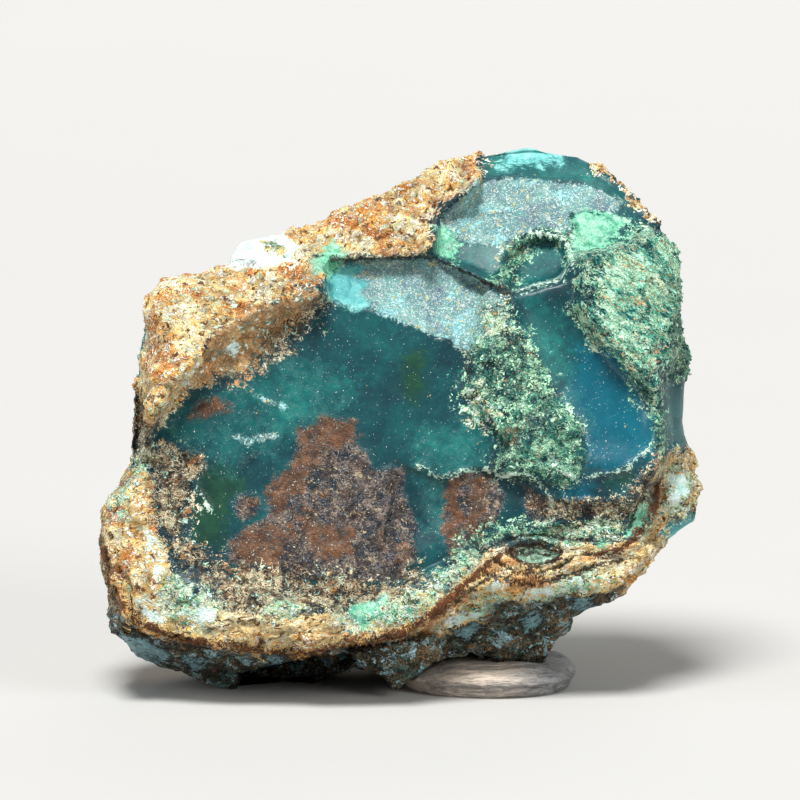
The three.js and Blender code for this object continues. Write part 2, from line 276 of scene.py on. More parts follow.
RIM = (  # x, v and depth, clockwise from the left shoulder
    (-25.8, 8.2, 9), (-25, 13, 9), (-23, 15, 10), (-20.6, 15.3, 11), (-18.8, 15.5, 12), (-16.8, 16.3, 12.5),
    (-15.3, 18.3, 13), (-12.8, 18.6, 13), (-11.5, 19.5, 14), (-8, 20.2, 15), (-5.9, 21.5, 15.5),
    (-2, 23.3, 16), (0.6, 24.6, 17), (5.2, 27, 18.5), (8.2, 27.4, 19.5), (13.8, 28.1, 20), (18, 27.5, 20),
    (20.6, 26, 19.5), (25, 21.9, 18), (27.5, 17.6, 15.5), (28, 11, 13.5), (28.8, 7.8, 13),
    (28.5, 0.5, 12.5), (28.7, -2, 13), (30.3, -6, 14), (29.4, -9.1, 14), (26.6, -10.9, 13),
    (24.9, -12.8, 11.5), (21.8, -16.1, 10), (17.3, -18.5, 10), (16.9, -19.8, 10.5), (15.6, -21, 11),
    (14.1, -23.5, 11.5), (12.8, -24, 12), (10, -22.7, 10), (6.6, -22, 8), (3.6, -22.7, 6), (2, -23.9, 5.5),
    (-0.3, -25.1, 5.5), (-4.3, -23.2, 8), (-6, -23.7, 11), (-9.7, -25.9, 14.5), (-11.4, -25.2, 14.5),
    (-15, -26.1, 13), (-17.2, -26, 12), (-19.7, -24.6, 10), (-26, -22.4, 7), (-28.3, -20, 6),
    (-29.8, -11.2, 6), (-29.4, -7.6, 6.5), (-26.3, -3.4, 8), (-26.6, 0, 8.5),
)
PLATES = (
    Plate(  # deep blue window
        Outline.through(11.5, 14, 18, 14.5, 21, 8, 24, 7, 25.5, -1.5, 24, -4, 17, -4.5, 14.5, 3, 11, 10),
        at=(19, 4), depth=3.6, slope=(0.03, 0.16), bevel=3, grain=0, crown=-0.5, run=4,
    ),
    Plate(  # right flank, turning away
        Outline.through(26.2, 20, 40, 20, 40, -14, 26, -12, 25.4, -4, 26.3, 6, 25.6, 12),
        at=(26, 8), depth=4.5, slope=(2.2, 0.1), bevel=3, grain=0.3,
    ),
    Plate(  # druse on the right shoulder
        Outline.through(18.5, 18, 22, 18, 26, 19, 27.5, 18, 28, 10, 26, 4, 23.8, 5, 21, 8, 18, 12.5),
        at=(23, 12), depth=3.6, slope=(0.3, 0.34), bevel=2.4, grain=0.5, crown=0.4, run=3,
    ),
    Plate(  # frosted facet above the main face
        Outline.through(-8, 14.5, -7, 16.8, 3.7, 17.2, 10, 14, 11.5, 10, 9, 7.8, 5, 9.5, -0.5, 11.8,
            -7, 13),
        at=(-0.5, 11.8), depth=5.5, slope=(0.15, 0.74), bevel=1.2, grain=0.05,
    ),
    Plate(  # rind over the left of the top
        Outline.through(-13, 19, -8, 21, 0, 26, 6, 28, 8.5, 28, 8, 25, 4, 21.5, 2, 17.5, -5, 17.5,
            -9, 16.8),
        at=(2, 18), depth=9.8, slope=(0.1, 0.95), bevel=1.4, grain=0.5, crown=0.8, run=3,
    ),
    Plate(  # block of rind at the upper left
        Outline.through(-26, 13.5, -23.5, 15.5, -17, 16.8, -9, 17.2, -7, 14.5, -7.2, 13, -11, 12, -16, 10.2,
            -22, 4.5, -25.5, -0.8, -28, 0),
        at=(-18, 11), depth=2.6, slope=(-0.16, 0.62), bevel=2.4, grain=0.5, crown=0.6, run=4,
    ),
    Plate(  # sloping slab at the top right, with a crisp lower lip
        Outline.through(3.7, 17.2, 4, 21.5, 8, 24.5, 8.2, 28.5, 19, 28.5, 22, 26, 27, 20, 24.5, 19.5,
            20, 18, 17.5, 17, 16, 14.9, 11.3, 13.8, 10, 14.5, 7, 16),
        at=(7, 16), depth=9.2, slope=(-0.02, 0.74), bevel=1.3, grain=0.08,
    ),
    Plate(  # top edge of the slab, rolling over
        Outline.through(7.5, 25.2, 13, 24.7, 21.5, 26, 20, 30, 7, 30),
        at=(13, 25), depth=15.6, slope=(0, 1.6), bevel=1.6, grain=0.1,
    ),
    Plate(  # smooth mint facet on the slab
        Outline.through(17.2, 21.8, 19, 22.2, 24, 20.2, 25.5, 20.8, 24, 19.2, 20, 17.8, 18.5, 19),
        at=(20, 20), depth=11.2, slope=(0.15, 0.8), bevel=1.2, grain=0,
    ),
    Plate(  # shell-shaped dimple under the slab's lip
        Outline.through(11.5, 14.2, 15, 14.8, 16.3, 15.3, 17.2, 16.8, 16, 19, 14, 19.2, 10.8, 17.4,
            10.5, 15.8),
        at=(14, 15), depth=9, slope=(0, 0.95), bevel=1.2, grain=0.05,
    ),
    Plate(  # band of green druse beside the window
        Outline.through(9, 14, 11.5, 14, 12, 10, 17, 1, 19, -2, 17.5, -5, 10, -4.8, 11, -1, 6.5, 4, 7, 8),
        at=(12, 4), depth=3.5, slope=(0.02, 0.2), bevel=1.2, grain=0.45, crown=0.5, run=2,
    ),
    Plate(  # lower step of the face, under the broken flake
        Outline.through(-0.5, -3.2, 2.5, -4.4, 5, -4.9, 7.8, -3.8, 12, -4.8, 15.3, -7.3, 24, -7.5, 23, -10,
            16, -9, 12, -11, 4, -14, 0, -16, -2, -13, -0.5, -7),
        at=(4, -8), depth=3.4, slope=(0, 0.1), bevel=1.1, grain=0.3,
    ),
    Plate(  # cream ledge along the lower right
        Outline.through(-6, -17, -1, -16.2, 3, -14, 7, -12.2, 16, -9.5, 22, -9, 25.5, -5, 26.5, -8,
            23, -14.5, 20, -17, 8, -16, 5, -18.2, 0, -21, -5.5, -21),
        at=(8, -14), depth=1.4, slope=(0.03, 0.42), bevel=1, grain=0.4,
    ),
    Plate(  # rind round the lower left
        Outline.through(-27, -3, -21.5, -2.5, -19.5, -4, -21, -7, -21, -12, -19.5, -14.5, -10, -17,
            -5.5, -17.5, -5.5, -21, -20, -21.5, -26, -19.5, -30, -10, -28.5, -6.5),
        at=(-22, -12), depth=1.6, slope=(-0.12, 0.22), bevel=1.5, grain=0.5, crown=0.4, run=3,
    ),
    Plate(  # dark green hollow beside that rind
        Outline.through(-19.5, -3.5, -17, -3, -16, -6, -17.5, -12, -19, -13.6, -20.5, -12.5, -21.3, -9),
        at=(-18.5, -8), depth=2.5, slope=(0, 0.13), bevel=4, grain=0,
    ),
    Plate(  # left wall
        Outline.through(-26.2, 15, -23.9, 13.8, -24.9, 3, -26, -3.2, -30, -3, -30, 15),
        at=(-24.6, 6), depth=5.5, slope=(-2.6, 0), bevel=1, grain=0.3,
    ),
    Plate(  # left flank of the foot
        Outline.through(-31, -5.5, -28.9, -7.5, -28.9, -11, -28.2, -15, -27.2, -17.8, -26.8, -21.4,
            -31, -23),
        at=(-28.8, -10), depth=2.4, slope=(-2.4, 0), bevel=1, grain=0.45,
    ),
    Plate(  # underside below the seam on the left
        Outline.through(-31, -23, -27, -20.6, -24.5, -20.8, -20, -21.7, -9, -22.3, -4, -22.2, -4, -27,
            -31, -27),
        at=(-18, -22), depth=2, slope=(-0.15, -2.2), bevel=1, grain=0.45,
    ),
    Plate(  # underside below the seam on the right
        Outline.through(-5.5, -21.2, 0, -20.9, 3, -19.3, 7, -16.4, 10, -15.3, 20, -15.4, 23.5, -13.4,
            28, -14, 26, -27, -5, -27),
        at=(12, -15.4), depth=1.1, slope=(0, -1.3), bevel=1.9, grain=0.5,
    ),
    Plate(  # lump that hangs from the middle of the seam
        Outline.through(-5.5, -21.8, -2, -21, 4, -20.5, 4, -22.5, 0.5, -25.5, -2, -25.4),
        at=(-0.5, -23), depth=4, slope=(0.1, -1), bevel=1.8, grain=0.5,
    ),
    Plate(  # the rear of the foot, seen below the seam
        Outline.through(-16, -24.3, -11.5, -23.2, -8.5, -22.3, -4.4, -22.2, -4, -24.5, -9, -27, -16, -27),
        at=(-10, -24), depth=17, slope=(0, -1), bevel=0.8, grain=0.4,
    ),
    Plate(  # lump behind the right end of the seam
        Outline.through(25, -6, 26.2, -3.5, 28.5, -1.8, 31, -4, 31, -9, 28, -12, 24.6, -11.5, 25.5, -9),
        at=(28, -6), depth=10.5, slope=(0.7, 0.35), bevel=1.1, grain=0.5, crown=1.6, run=2.4,
    ),
    Plate(  # white nodule on the top edge
        Outline.through(-17, 16.2, -15, 18.5, -12, 18.8, -9.8, 16.8, -12, 16),
        at=(-13, 17), depth=9.5, slope=(0, 1.2), bevel=0.8, grain=0.2, crown=1.2, run=1.5,
    ),
)
BREAKS = (
    Break(facing=(0.04, 0.97, 0.22), through=(8, 26.4, 18)),
    Break(facing=(-0.12, 0.98, -0.12), through=(-8, 27, 0)),
    Break(facing=(-0.06, 0.3, 0.95), through=(13, 24, 24.6)),
    Break(facing=(-0.86, 0.48, 0.14), through=(-22.5, 19, 2)),
    Break(facing=(-0.42, 0.6, 0.68), through=(-13, 21, 14.2)),
    Break(facing=(0.86, 0.5, 0.12), through=(27, 20.5, 14)),
    Break(facing=(0.5, 0.78, -0.36), through=(15, 23.5, -12)),
    Break(facing=(0.3, 0.42, -0.86), through=(12.8, 8.2, -25.4)),
    Break(facing=(-0.66, 0.5, -0.56), through=(-22.5, 18.5, -19)),
)


class Side(Enum):
    """A side of the stone: which way it faces along the depth, and how blunt its edge is."""

    FRONT = (-1, 7.0)
    BACK = (1, 3.2)

    @property
    def facing(self) -> int:
        """-1 towards the viewer of the face, 1 away from it."""
        return self.value[0]

    @property
    def bluntness(self) -> float:
        """The exponent that rounds the side off to the rim."""
        return self.value[1]


def fullness(share: Array, bluntness: float) -> Array:
    """How far a side stands off the rim's level, from 1 in the middle to 0 at the rim."""
    return np.power(1 - np.minimum(share, 1) ** bluntness, 1 / bluntness)


def upright(x: Array, v: Array, depth: Array) -> Array:
    """Points of the leaning face's frame, in the upright frame.

    Args:
        x: Distance to the right.
        v: Distance up the leaning face.
        depth: Distance into the stone, square to the face.

    Returns:
        An (n, 3) array of x right, y back and z up.
    """
    back = v * math.sin(FACE_LEAN) + depth * math.cos(FACE_LEAN)
    up = v * math.cos(FACE_LEAN) - depth * math.sin(FACE_LEAN)
    return np.stack([x, back, up], axis=1)


def to_metres(points: Array) -> Array:
    """Points of the upright frame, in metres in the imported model's frame."""
    return (points - (MIDDLE[0], MIDDLE[1], GROUND)) * UNIT


def wrapped_grid(rings: int) -> tuple[Array, Array]:
    """A square grid of points wrapped to a disc.

    Args:
        rings: Rings of the grid round its middle.

    Returns:
        The direction of each point in radians, and the number of its ring.
    """
    row, column = np.mgrid[-rings : rings + 1, -rings : rings + 1].reshape(2, -1)
    ring = np.maximum(np.abs(row), np.abs(column))
    wide = np.abs(column) > np.abs(row)
    with np.errstate(divide="ignore", invalid="ignore"):
        flat = math.pi / 4 * (row / column) + np.where(column < 0, math.pi, 0)
        steep = math.pi / 2 - math.pi / 4 * (column / row) + np.where(row < 0, math.pi, 0)
    return np.where(ring == 0, 0.0, np.where(wide, flat, steep)), ring


def ring_shares(rings: int, bluntness: float = 4.0, thickness: float = 0.45) -> Array:
    """Radii of a grid's rings, even where a side turns over the rim.

    Args:
        rings: Rings of the grid round its middle.
        bluntness: How blunt that turn is.
        thickness: How thick a side is beside the rim's radius.

    Returns:
        The radii as shares of the rim's, from 0 to 1.
    """
    radius = np.sin(np.linspace(0, math.pi / 2, 4001))
    rise = thickness * fullness(radius, bluntness)
    length = np.concatenate([[0], np.cumsum(np.hypot(np.diff(radius), np.diff(rise)))])
    return np.interp(np.linspace(0, length[-1], rings + 1), length, radius)


def grid_faces(count: int, outward: bool) -> Array:
    """Quads of a square grid of points.

    Args:
        count: Points along an edge.
        outward: Whether rows against columns already turn the right way round.

    Returns:
        Vertex indices, four for each quad.
    """
    row, column = np.mgrid[: count - 1, : count - 1].reshape(2, -1)
    corner = row * count + column
    quads = np.stack([corner, corner + 1, corner + count + 1, corner + count], axis=1)
    return quads if outward else quads[:, ::-1]


@dataclass
class Sheet:
    """One side of the stone as a square grid of points wrapped to the rim."""

    side: Side
    rings: int
    x: Array
    v: Array
    share: Array
    angle: Array
    points: Array
    away: Array
    turn_from: float = 0.985

    @property
    def count(self) -> int:
        """Points along one edge of the grid."""
        return 2 * self.rings + 1

    def normals(self) -> Array:
        """Normals of the grid's points, turned to point away from the stone along the rim.

        Returns:
            An (n, 3) array of unit normals, out of the stone.
        """
        grid = self.points.reshape(self.count, self.count, 3)
        normal = np.cross(np.gradient(grid, axis=1), np.gradient(grid, axis=0)) * -self.side.facing
        normal = normal.reshape(-1, 3)
        normal = normal / np.maximum(np.linalg.norm(normal, axis=1, keepdims=True), TINY)
        blend = mix(normal, self.away, smoothstep(self.share, self.turn_from, 1.0)[:, None])
        return blend / np.maximum(np.linalg.norm(blend, axis=1, keepdims=True), TINY)

    def rim_mask(self) -> Array:
        """True at the points on the rim, which both sides share."""
        row, column = np.divmod(np.arange(self.count**2), self.count)
        return (row % (self.count - 1) == 0) | (column % (self.count - 1) == 0)


@dataclass
class StoneForm:
    """The stone's surface as a function of the face's plan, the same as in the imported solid."""

    rim: tuple[Place, ...] = RIM
    plates: tuple[Plate, ...] = PLATES
    breaks: tuple[Break, ...] = BREAKS
    face_depth: float = 3.5
    face_slope: Spot = (0.0, 0.13)
    face_grain: float = 0.05
    back_depth: float = 27.5
    back_slope: Spot = (0.0, -0.1)
    back_grain: float = 0.4
    crispness: float = 0.35

    def rim_at(self, angle: Array) -> tuple[Array, Array]:
        """The rim in each direction from the middle of the face.

        Args:
            angle: The directions, in radians.

        Returns:
            The rim's radius and its depth.
        """
        points = np.array(self.rim[::-1], float)
        directions = np.unwrap(np.arctan2(points[:, 1], points[:, 0]))
        turn = (angle - directions[0]) % (2 * math.pi) + directions[0]
        start = np.searchsorted(directions, turn, side="right") - 1
        a, b = points[start], points[(start + 1) % len(points)]
        c, s = np.cos(angle), np.sin(angle)
        beside_a = c * a[:, 1] - s * a[:, 0]
        beside_b = c * b[:, 1] - s * b[:, 0]
        found = mix(a, b, (beside_a / (beside_a - beside_b))[:, None])
        return np.hypot(found[:, 0], found[:, 1]), found[:, 2]

    def front(self, x: Array, v: Array) -> tuple[Array, Array]:
        """The front before it rounds off to the rim.

        Args:
            x: Place to the right on the plan.
            v: Place up the plan.

        Returns:
            Its depth and how strong its lumps are.
        """
        depth = self.face_depth + self.face_slope[0] * x + self.face_slope[1] * v
        grain = np.full(x.shape, self.face_grain)
        for plate in self.plates:
            inside = plate.outline.inside(x, v)
            bevel = plate.bevel * self.crispness
            cover = smoothstep(inside, -bevel, bevel)
            plane = plate.depth + plate.slope[0] * (x - plate.at[0]) + plate.slope[1] * (v - plate.at[1])
            swollen = plane - plate.crown * smoothstep(inside, 0, plate.run)
            depth = mix(depth, swollen, cover)
            grain = mix(grain, plate.grain, cover)
        return depth, grain

    def back(self, x: Array, v: Array) -> tuple[Array, Array]:
        """Depth and strength of lumps of the back, before it rounds off to the rim."""
        depth = self.back_depth + self.back_slope[0] * x + self.back_slope[1] * v
        return depth, np.full(x.shape, self.back_grain)

    def cut(self, points: Array) -> Array:
        """Cut points back to the planes of the breaks.

        Args:
            points: The points, in the upright frame.

        Returns:
            The points, moved where they stood out.
        """
        for flat in self.breaks:
            normal = np.array(flat.facing) / np.linalg.norm(flat.facing)
            excess = (points - np.array(flat.through)) @ normal
            points = points - np.maximum(excess, 0)[:, None] * normal
        return points

    def sheet(self, side: Side, rings: int) -> Sheet:
        """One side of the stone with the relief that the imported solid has.

        Args:
            side: Which side.
            rings: Rings of the grid between the middle and the rim.

        Returns:
            The side's grid, in the upright frame.
        """
        angle, ring = wrapped_grid(rings)
        share = ring_shares(rings)[ring]
        radius, rim_depth = self.rim_at(angle)
        x, v = np.cos(angle) * radius * share, np.sin(angle) * radius * share
        depth, grain = self.front(x, v) if side is Side.FRONT else self.back(x, v)
        full = fullness(share, side.bluntness)
        points = self.cut(upright(x, v, rim_depth + (depth - rim_depth) * full))
        sideways = share**3
        away = upright(np.cos(angle) * sideways, np.sin(angle) * sideways, side.facing * full)
        away /= np.linalg.norm(away, axis=1, keepdims=True)
        lumps = sum(weight * Noise.value(points, size) for size, weight in LUMPS)
        points = points + away * (RELIEF * grain * lumps)[:, None]
        return Sheet(side, rings, x, v, share, angle, points, away)


class Mark(Enum):
    """What grows or shows on the stone. The value is the name of the mesh attribute that holds
    the distance to its border, in stone units, positive inside."""

    JADE = "jade"
    GREEN = "green"
    DEEP = "deep"
    VEIL = "veil"
    AQUA = "aqua"
    FROST = "frost"
    BROWN = "brown"
    RUST = "rust"
    TAN = "tan"
    DRUSE = "druse"
    RIND = "rind"
    GRIT = "grit"
    LEDGE = "ledge"
    MINT = "mint"
    CHALK = "chalk"
    SLOPE = "slope"
    WHITE = "white"
    NODULE = "nodule"
    LENS = "lens"
    UNDER = "under"
    SLATE = "slate"
    SEAM = "seam"
    VEIN = "vein"
    CRACK = "crack"
    VEIN_SIDE = "vein_side"
    CRACK_SIDE = "crack_side"
OUTLINES = {
    Mark.JADE: Outline.several(
        (11.8, 13.6, 14.4, 14.2, 16.4, 11, 16.4, 6, 15, 3.4, 13.2, 6.5),
        (11.4, 14.6, 15, 15, 16.9, 16.6, 16.6, 18.4, 13.5, 18, 11.2, 17),
        (3.8, 17.4, 8, 16, 11.4, 13.8, 12, 17, 9, 18.8, 5, 20.4),
        (-11, -1, -5, 3, -3, 6, -9, 5, -14, 1),
        (3.2, -4, 6.4, -3.8, 9.6, -2.4, 8.6, 0.4, 6, -0.6, 3.4, -2),
        (26.4, 4, 31, 4, 31, -3.4, 27, -2.6, 26.4, 0),
        (8, 25, 12, 24.8, 18, 24.6, 22.4, 22.6, 24, 21.4, 23.4, 24, 19, 27.6, 9, 28),
        (17.2, 22.8, 19.4, 21.8, 22.6, 21.2, 25.6, 20.4, 26.4, 18.6, 24, 18, 18, 18, 17, 20.4),
    ),
    Mark.GREEN: Outline.several(
        (
            -19.4, -3.4, -16, -3.4, -15.4, -5.6, -16.6, -7, -16.8, -9, -17.6, -11.8, -20.4, -11.8, -21, -9,
            -20.4, -6.4,
        ),
        (0.8, 7.4, 2.2, 7.8, 2.7, 4.6, 1.6, 2.6, 0.5, 4),
        (19.4, -2, 22.6, -1.6, 23.4, -5, 20.6, -6.2),
    ),
    Mark.DEEP: Outline.several(
        (17.6, 8.6, 20.4, 9, 24, 6, 25.6, 2, 25.8, -2.6, 22.5, -4.6, 18.8, -4, 16.6, 0.5, 16.8, 4.5),
        (15.6, -3.6, 18.4, -4, 19.4, -7, 16.2, -7.2),
    ),
    Mark.VEIL: Outline.several(
        (-20, 4, -14, 6, -8, 7, -5, 3, -9, 0.4, -13, -3, -16.5, -3.6, -20, -2.6, -23, 0),
        (2, -0.6, 7, 0, 9, -1.5, 8.8, -3.6, 3, -3.6),
        (2.6, -6, 4.6, -5.6, 4.6, -11, 2.6, -9),
        (14, 2, 17.6, 3.6, 18.6, 1, 16.4, -0.6),
    ),
    Mark.AQUA: Outline.several(
        (-7.6, 14.8, -6.6, 16.8, -2.4, 16.6, -2, 13.4, -3.4, 12, -7, 12.8),
        (26.4, -9, 28.6, -8.2, 32, -7.6, 31, -13, 25.8, -14, 25.4, -11),
        (10.4, 26.8, 11, 31, 17, 31, 16.6, 27.2, 14, 26.6),
        (-27, 11, -25.2, 10.4, -25.2, 5.6, -27, 4.8),
    ),
    Mark.FROST: Outline.several(
        (
            -2.6, 12.6, -3.9, 13.8, -2.7, 14.7, -4.7, 15.4, -3.3, 16.2, -5, 17, 3.5, 17.2, 8, 15.2,
            10.6, 12.6, 10.2, 9, 8.9, 7, 5, 8.9, -0.4, 11.1, -2, 11.8,
        ),
        (-14.4, 3.5, -13, 3.1, -11.4, 2.3, -12.6, 2.5, -13.6, 3),
        (-16.5, -0.6, -14.9, -1.1, -13.5, -0.6, -12.2, -0.6, -13.4, -0.9, -15, -1.45),
        (
            4.4, 19.6, 4.6, 21.5, 7.6, 24.7, 12.6, 25.3, 17, 24.9, 22.6, 23, 22, 22, 17.4, 21.6, 17.4, 20,
            14, 20, 10, 18.6, 7, 18.8,
        ),
    ),
    Mark.BROWN: Outline.several(
        # large inclusion in the middle
        (
            -10, 0.2, -7.2, 0.9, -4.7, 0.5, -4.5, -1, -3.1, -2.3, -2.6, -4.1, 0.4, -3.9, 0.6, -6.2,
            1.6, -8.6, 2, -12.5, 0.8, -15.2, -6, -15.4, -12, -15.2, -16, -14.4, -17.2, -12.8, -16.6, -11.2,
            -14.8, -10, -13.2, -8.8, -12.4, -7.6, -12.7, -5.2, -10.4, -3.2,
        ),
        # inclusion to its right
        (
            5, -4.8, 5.6, -4.3, 9.2, -3.9, 10, -5, 10.5, -7.2, 9.4, -9.4, 7.4, -10.8, 5.2, -12.6, 4.7, -10,
            4.8, -7.4,
        ),
        (-16.4, -7.6, -15.9, -6.8, -14.9, -6.5, -14, -7, -13.9, -7.9, -14.7, -8.7, -15.8, -8.6),
        (-20.8, 1.6, -20, 2.8, -18.5, 3.2, -16.9, 2.8, -17, 2, -18.6, 1.5),
        (12.5, -5.6, 16, -7, 20, -7, 23.8, -7.4, 24.6, -4, 25.6, -4.4, 24.6, -9, 19, -8.8, 13, -8.8),
    ),
    Mark.RUST: Outline.several(
        # smooth margin of the large inclusion
        (
            -10, 0.2, -7.2, 1, -4.7, 0.6, -4.5, -0.9, -6.8, -1.7, -8, -3.4, -9.2, -4.8, -10.6, -6.4,
            -12, -8.8, -12.8, -7.4, -12.8, -5, -10.6, -3.4, -9.8, -1.4,
        ),
        (-16.8, -11, -15.2, -9.8, -12.8, -9.4, -11.2, -10.6, -11, -12.8, -13.4, -13.6, -16.6, -13),
        (-9.4, -9.6, -6, -9, -4.4, -10.2, -5, -12.4, -8.6, -12.2),
        (4.7, -4.6, 6, -4.4, 6.4, -7, 6.2, -10.4, 5.2, -12.4, 4.6, -10, 4.7, -7),
        (6.6, -4.6, 9.4, -4.1, 8.6, -7.4, 7.4, -9.6),
        (-20.8, 1.6, -20, 2.8, -18.5, 3.2, -16.9, 2.8, -17, 2, -18.6, 1.5),
    ),
    Mark.TAN: Outline.several(
        # lower lip of the upper rind
        (
            -7, 13.2, -7.4, 15, -10, 14.8, -15.4, 12.8, -18.8, 10.2, -20.4, 7.2, -23, 3, -23.2, 1.6,
            -21.4, 3.4, -20, 4.2, -18.2, 4.6, -15.2, 4.9, -12.8, 7.4, -9, 10.6,
        ),
    ),
    Mark.DRUSE: Outline.several(
        # band beside the window
        (
            8.5, 13, 11.3, 12.6, 12, 9.5, 12.8, 8, 14, 6, 16, 3.5, 17.2, 2, 18.2, 0, 18.7, -3, 17.4, -5.2,
            13.5, -4.8, 10, -4.5, 9.4, -3, 10.6, -1, 7.8, 0.8, 6, 3, 6.4, 6.5, 8.2, 9,
        ),
        # round the top of the dimple
        (
            9.6, 15, 10.6, 17.6, 12.6, 19.6, 15, 20, 17, 19.4, 17.8, 17.6, 17.2, 16, 16.6, 18.2, 14.8, 18.9,
            12.8, 18, 11.4, 15.6, 11, 13.6,
        ),
        # right shoulder
        (
            17, 18.2, 18.4, 16.4, 17.4, 15, 18.8, 13.6, 17, 12.2, 18.4, 10.8, 20.4, 8.6, 22.2, 8, 22.8, 6,
            24, 4.8, 24.6, 2.8, 26, 2.8, 26, 5.8, 26.4, 8.4, 26.8, 10.8, 29, 12.2, 29, 19.8, 26, 18.8,
            20.6, 17.9,
        ),
        (25.2, 4.4, 25.9, 4.4, 26.2, -2.4, 25.6, -2.8),
        # over the cream ledge
        (10.8, -10.2, 13, -9.4, 17, -8.7, 20, -8.6, 22.6, -9.6, 23.6, -11, 18, -10.9, 13, -11.4),
        (5.4, -13.4, 7.4, -11.4, 9.6, -10, 12.6, -8.8, 12.8, -10.4, 10.2, -11.4, 7.6, -13, 6, -14.4),
        (26, 20.8, 26, 16, 26.2, 10, 26.4, 5, 31, 5, 31, 20),
    ),
    Mark.RIND: Outline.several(
        # upper left
        (
            -30, 20, -20, 21, -10, 21, -8.8, 18, -7.4, 16, -7.6, 14.3, -10.1, 14, -15.2, 11.8, -18.2, 9.7,
            -19.5, 6.7, -22.5, 2.5, -23.8, 0.8, -25, 0, -27, -1, -30, -1, -30, 4.6, -25.6, 5.4, -25.4, 10.4,
            -30, 12,
        ),
        # over the top
        (
            -12, 21, -6, 25, 0, 28, 8.8, 31, 8.2, 25.5, 7, 23.5, 4.5, 22.5, 3.6, 21, 3.4, 17.5, 0, 17.2,
            -5.5, 17.4, -9.4, 16.8,
        ),
        # lower left and along the bottom
        (
            -32, -6, -27, -3.4, -24.5, -4, -23.6, -8, -23, -13, -21.4, -16.6, -18, -17.6, -10, -18.4,
            -4, -18, 0, -18.6, 3, -16.4, 7, -13.8, 12, -12, 24, -10.6, 25.4, -6.6, 26, -2.5, 29, -1.4,
            33, -4, 33, -7, 29.6, -7.8, 27.2, -8.4, 26, -10.4, 26, -13, 23, -16, 18, -18, 12, -18.8, 7, -20,
            4, -21, 0, -23, -8, -24, -30, -24,
        ),
        (18.6, 30, 18.6, 27.2, 22.6, 23.6, 25.6, 20.6, 27, 21, 24, 27),
    ),
    Mark.GRIT: Outline.several(
        # left of the dark green window
        (
            -26, -1.4, -22, -2, -19.6, -2.6, -19.2, -4.4, -20.4, -5.4, -21.4, -8, -21.2, -11, -19.6, -12.4,
            -17, -13.2, -14, -14, -14, -17, -18.6, -16, -22.2, -13.4, -23.8, -9, -24.4, -5, -26.4, -3,
        ),
        # under the large inclusion
        (
            -20, -13.8, -14, -14, -8, -14.4, 0, -14.8, 2, -13, 3.2, -15, 1, -17, -4, -18.6, -10, -19.2,
            -17, -19,
        ),
        (13, -7, 17, -7.4, 23.2, -6.8, 24.8, -4, 25, -6, 24.6, -9, 20, -8.8, 14, -9),
        (-27, 4.2, -25.4, 4.2, -24.6, 0.4, -25, -2, -28, -2),
        (-13, 9.4, -10, 11.6, -7.6, 13.4, -7.2, 12.4, -9.2, 9.9, -12.4, 7.4),
        (-31, -9, -29.3, -9, -29, -14, -27.8, -17.6, -28.2, -20, -32, -20),
    ),
    Mark.LEDGE: Outline.several(
        (
            6.4, -14.4, 8.4, -12.6, 11, -11.2, 14, -11.6, 18, -11.2, 22.6, -10.8, 25.4, -8, 25.8, -6,
            27, -8, 25.2, -11, 22.4, -14, 19, -15.6, 13, -15.8, 9, -15.2,
        ),
        (26.6, -3, 28.6, -2.2, 31, -4, 30.6, -6.6, 28, -6.8, 26.6, -5.6),
        (-22.6, -16.8, -18, -17.8, -12, -18.4, -4, -18.8, -2, -19.4, -5, -20.4, -12, -20.8, -20, -20),
    ),
    Mark.MINT: Outline.several(
        (-6.5, 18.8, -5.5, 17.4, -6.5, 16, -7.2, 15.1, -8.8, 15.1, -8.6, 16.6),
        (17.2, 21.8, 19.6, 22.4, 22.8, 20.8, 22.4, 19, 20.4, 17.9, 18.6, 17.6, 17.5, 17.2, 17.3, 19),
        (3.6, 17.6, 5.2, 16.9, 6.2, 18, 4.6, 20.2, 3.8, 20),
        (-5.5, -17.6, -1.6, -17.2, -1, -19, -5, -19.4),
        (24.9, -7.4, 25.3, -8.2, 24.2, -10.4, 20.6, -12, 20.2, -11.6, 23, -10),
    ),
    Mark.CHALK: Outline.several(
        (-2.6, -19.8, -1, -17.6, 2.6, -15.1, 5, -13.4, 8, -12.4, 6, -15, 4, -17, 1, -19.6),
        (-14, -17.6, -11, -17.2, -9.4, -18.2, -12, -19),
        (-8, -18, -5, -17.6, -3, -19, -6, -20),
        (12, -10.6, 15, -9.6, 19, -9.2, 22.4, -10, 22.6, -11.2, 16, -11.2),
        (6.2, -17.4, 9, -15.8, 14, -16, 19, -14, 21, -14.4, 17.6, -17, 12, -18.4, 7, -19.4),
        (26.4, -3.4, 28.2, -3, 30, -5.4, 29.4, -9, 27, -8.8, 26.2, -6.4),
        (-24, -14.4, -19.4, -16, -17.4, -18, -20, -19.8, -24.2, -18.2),
        (-26.2, -3.2, -25.4, -3.2, -26.8, -6.4, -27.8, -8.4, -29.4, -7.4),
        (9, 12, 10.4, 12.6, 11, 10, 9.8, 9.2),
        (6.4, 3.4, 8.4, 4.4, 9.6, 1.4, 8.4, 0.6),
    ),
    Mark.SLOPE: Outline.several(
        (-13.7, 18, -11.8, 18.2, -10.9, 17.8, -11.2, 17.1, -13.4, 17.1),
        (
            17.2, 18.2, 18.6, 16.6, 17.2, 14.6, 19.6, 13.6, 18.2, 11, 20, 10.4, 19.6, 8.4, 22, 8.2,
            22.8, 5.8, 24.2, 4.6, 24.8, 2.6, 26, 3, 26.6, 10, 28.6, 12, 28.8, 19, 26, 19.6, 23, 20.6,
            21, 17.6,
        ),
    ),
    Mark.NODULE: Outline.several(
        (-17.4, 16, -17, 18.4, -15.5, 20, -12, 20, -9.8, 18.4, -9.8, 16.4, -13, 15.6),
    ),
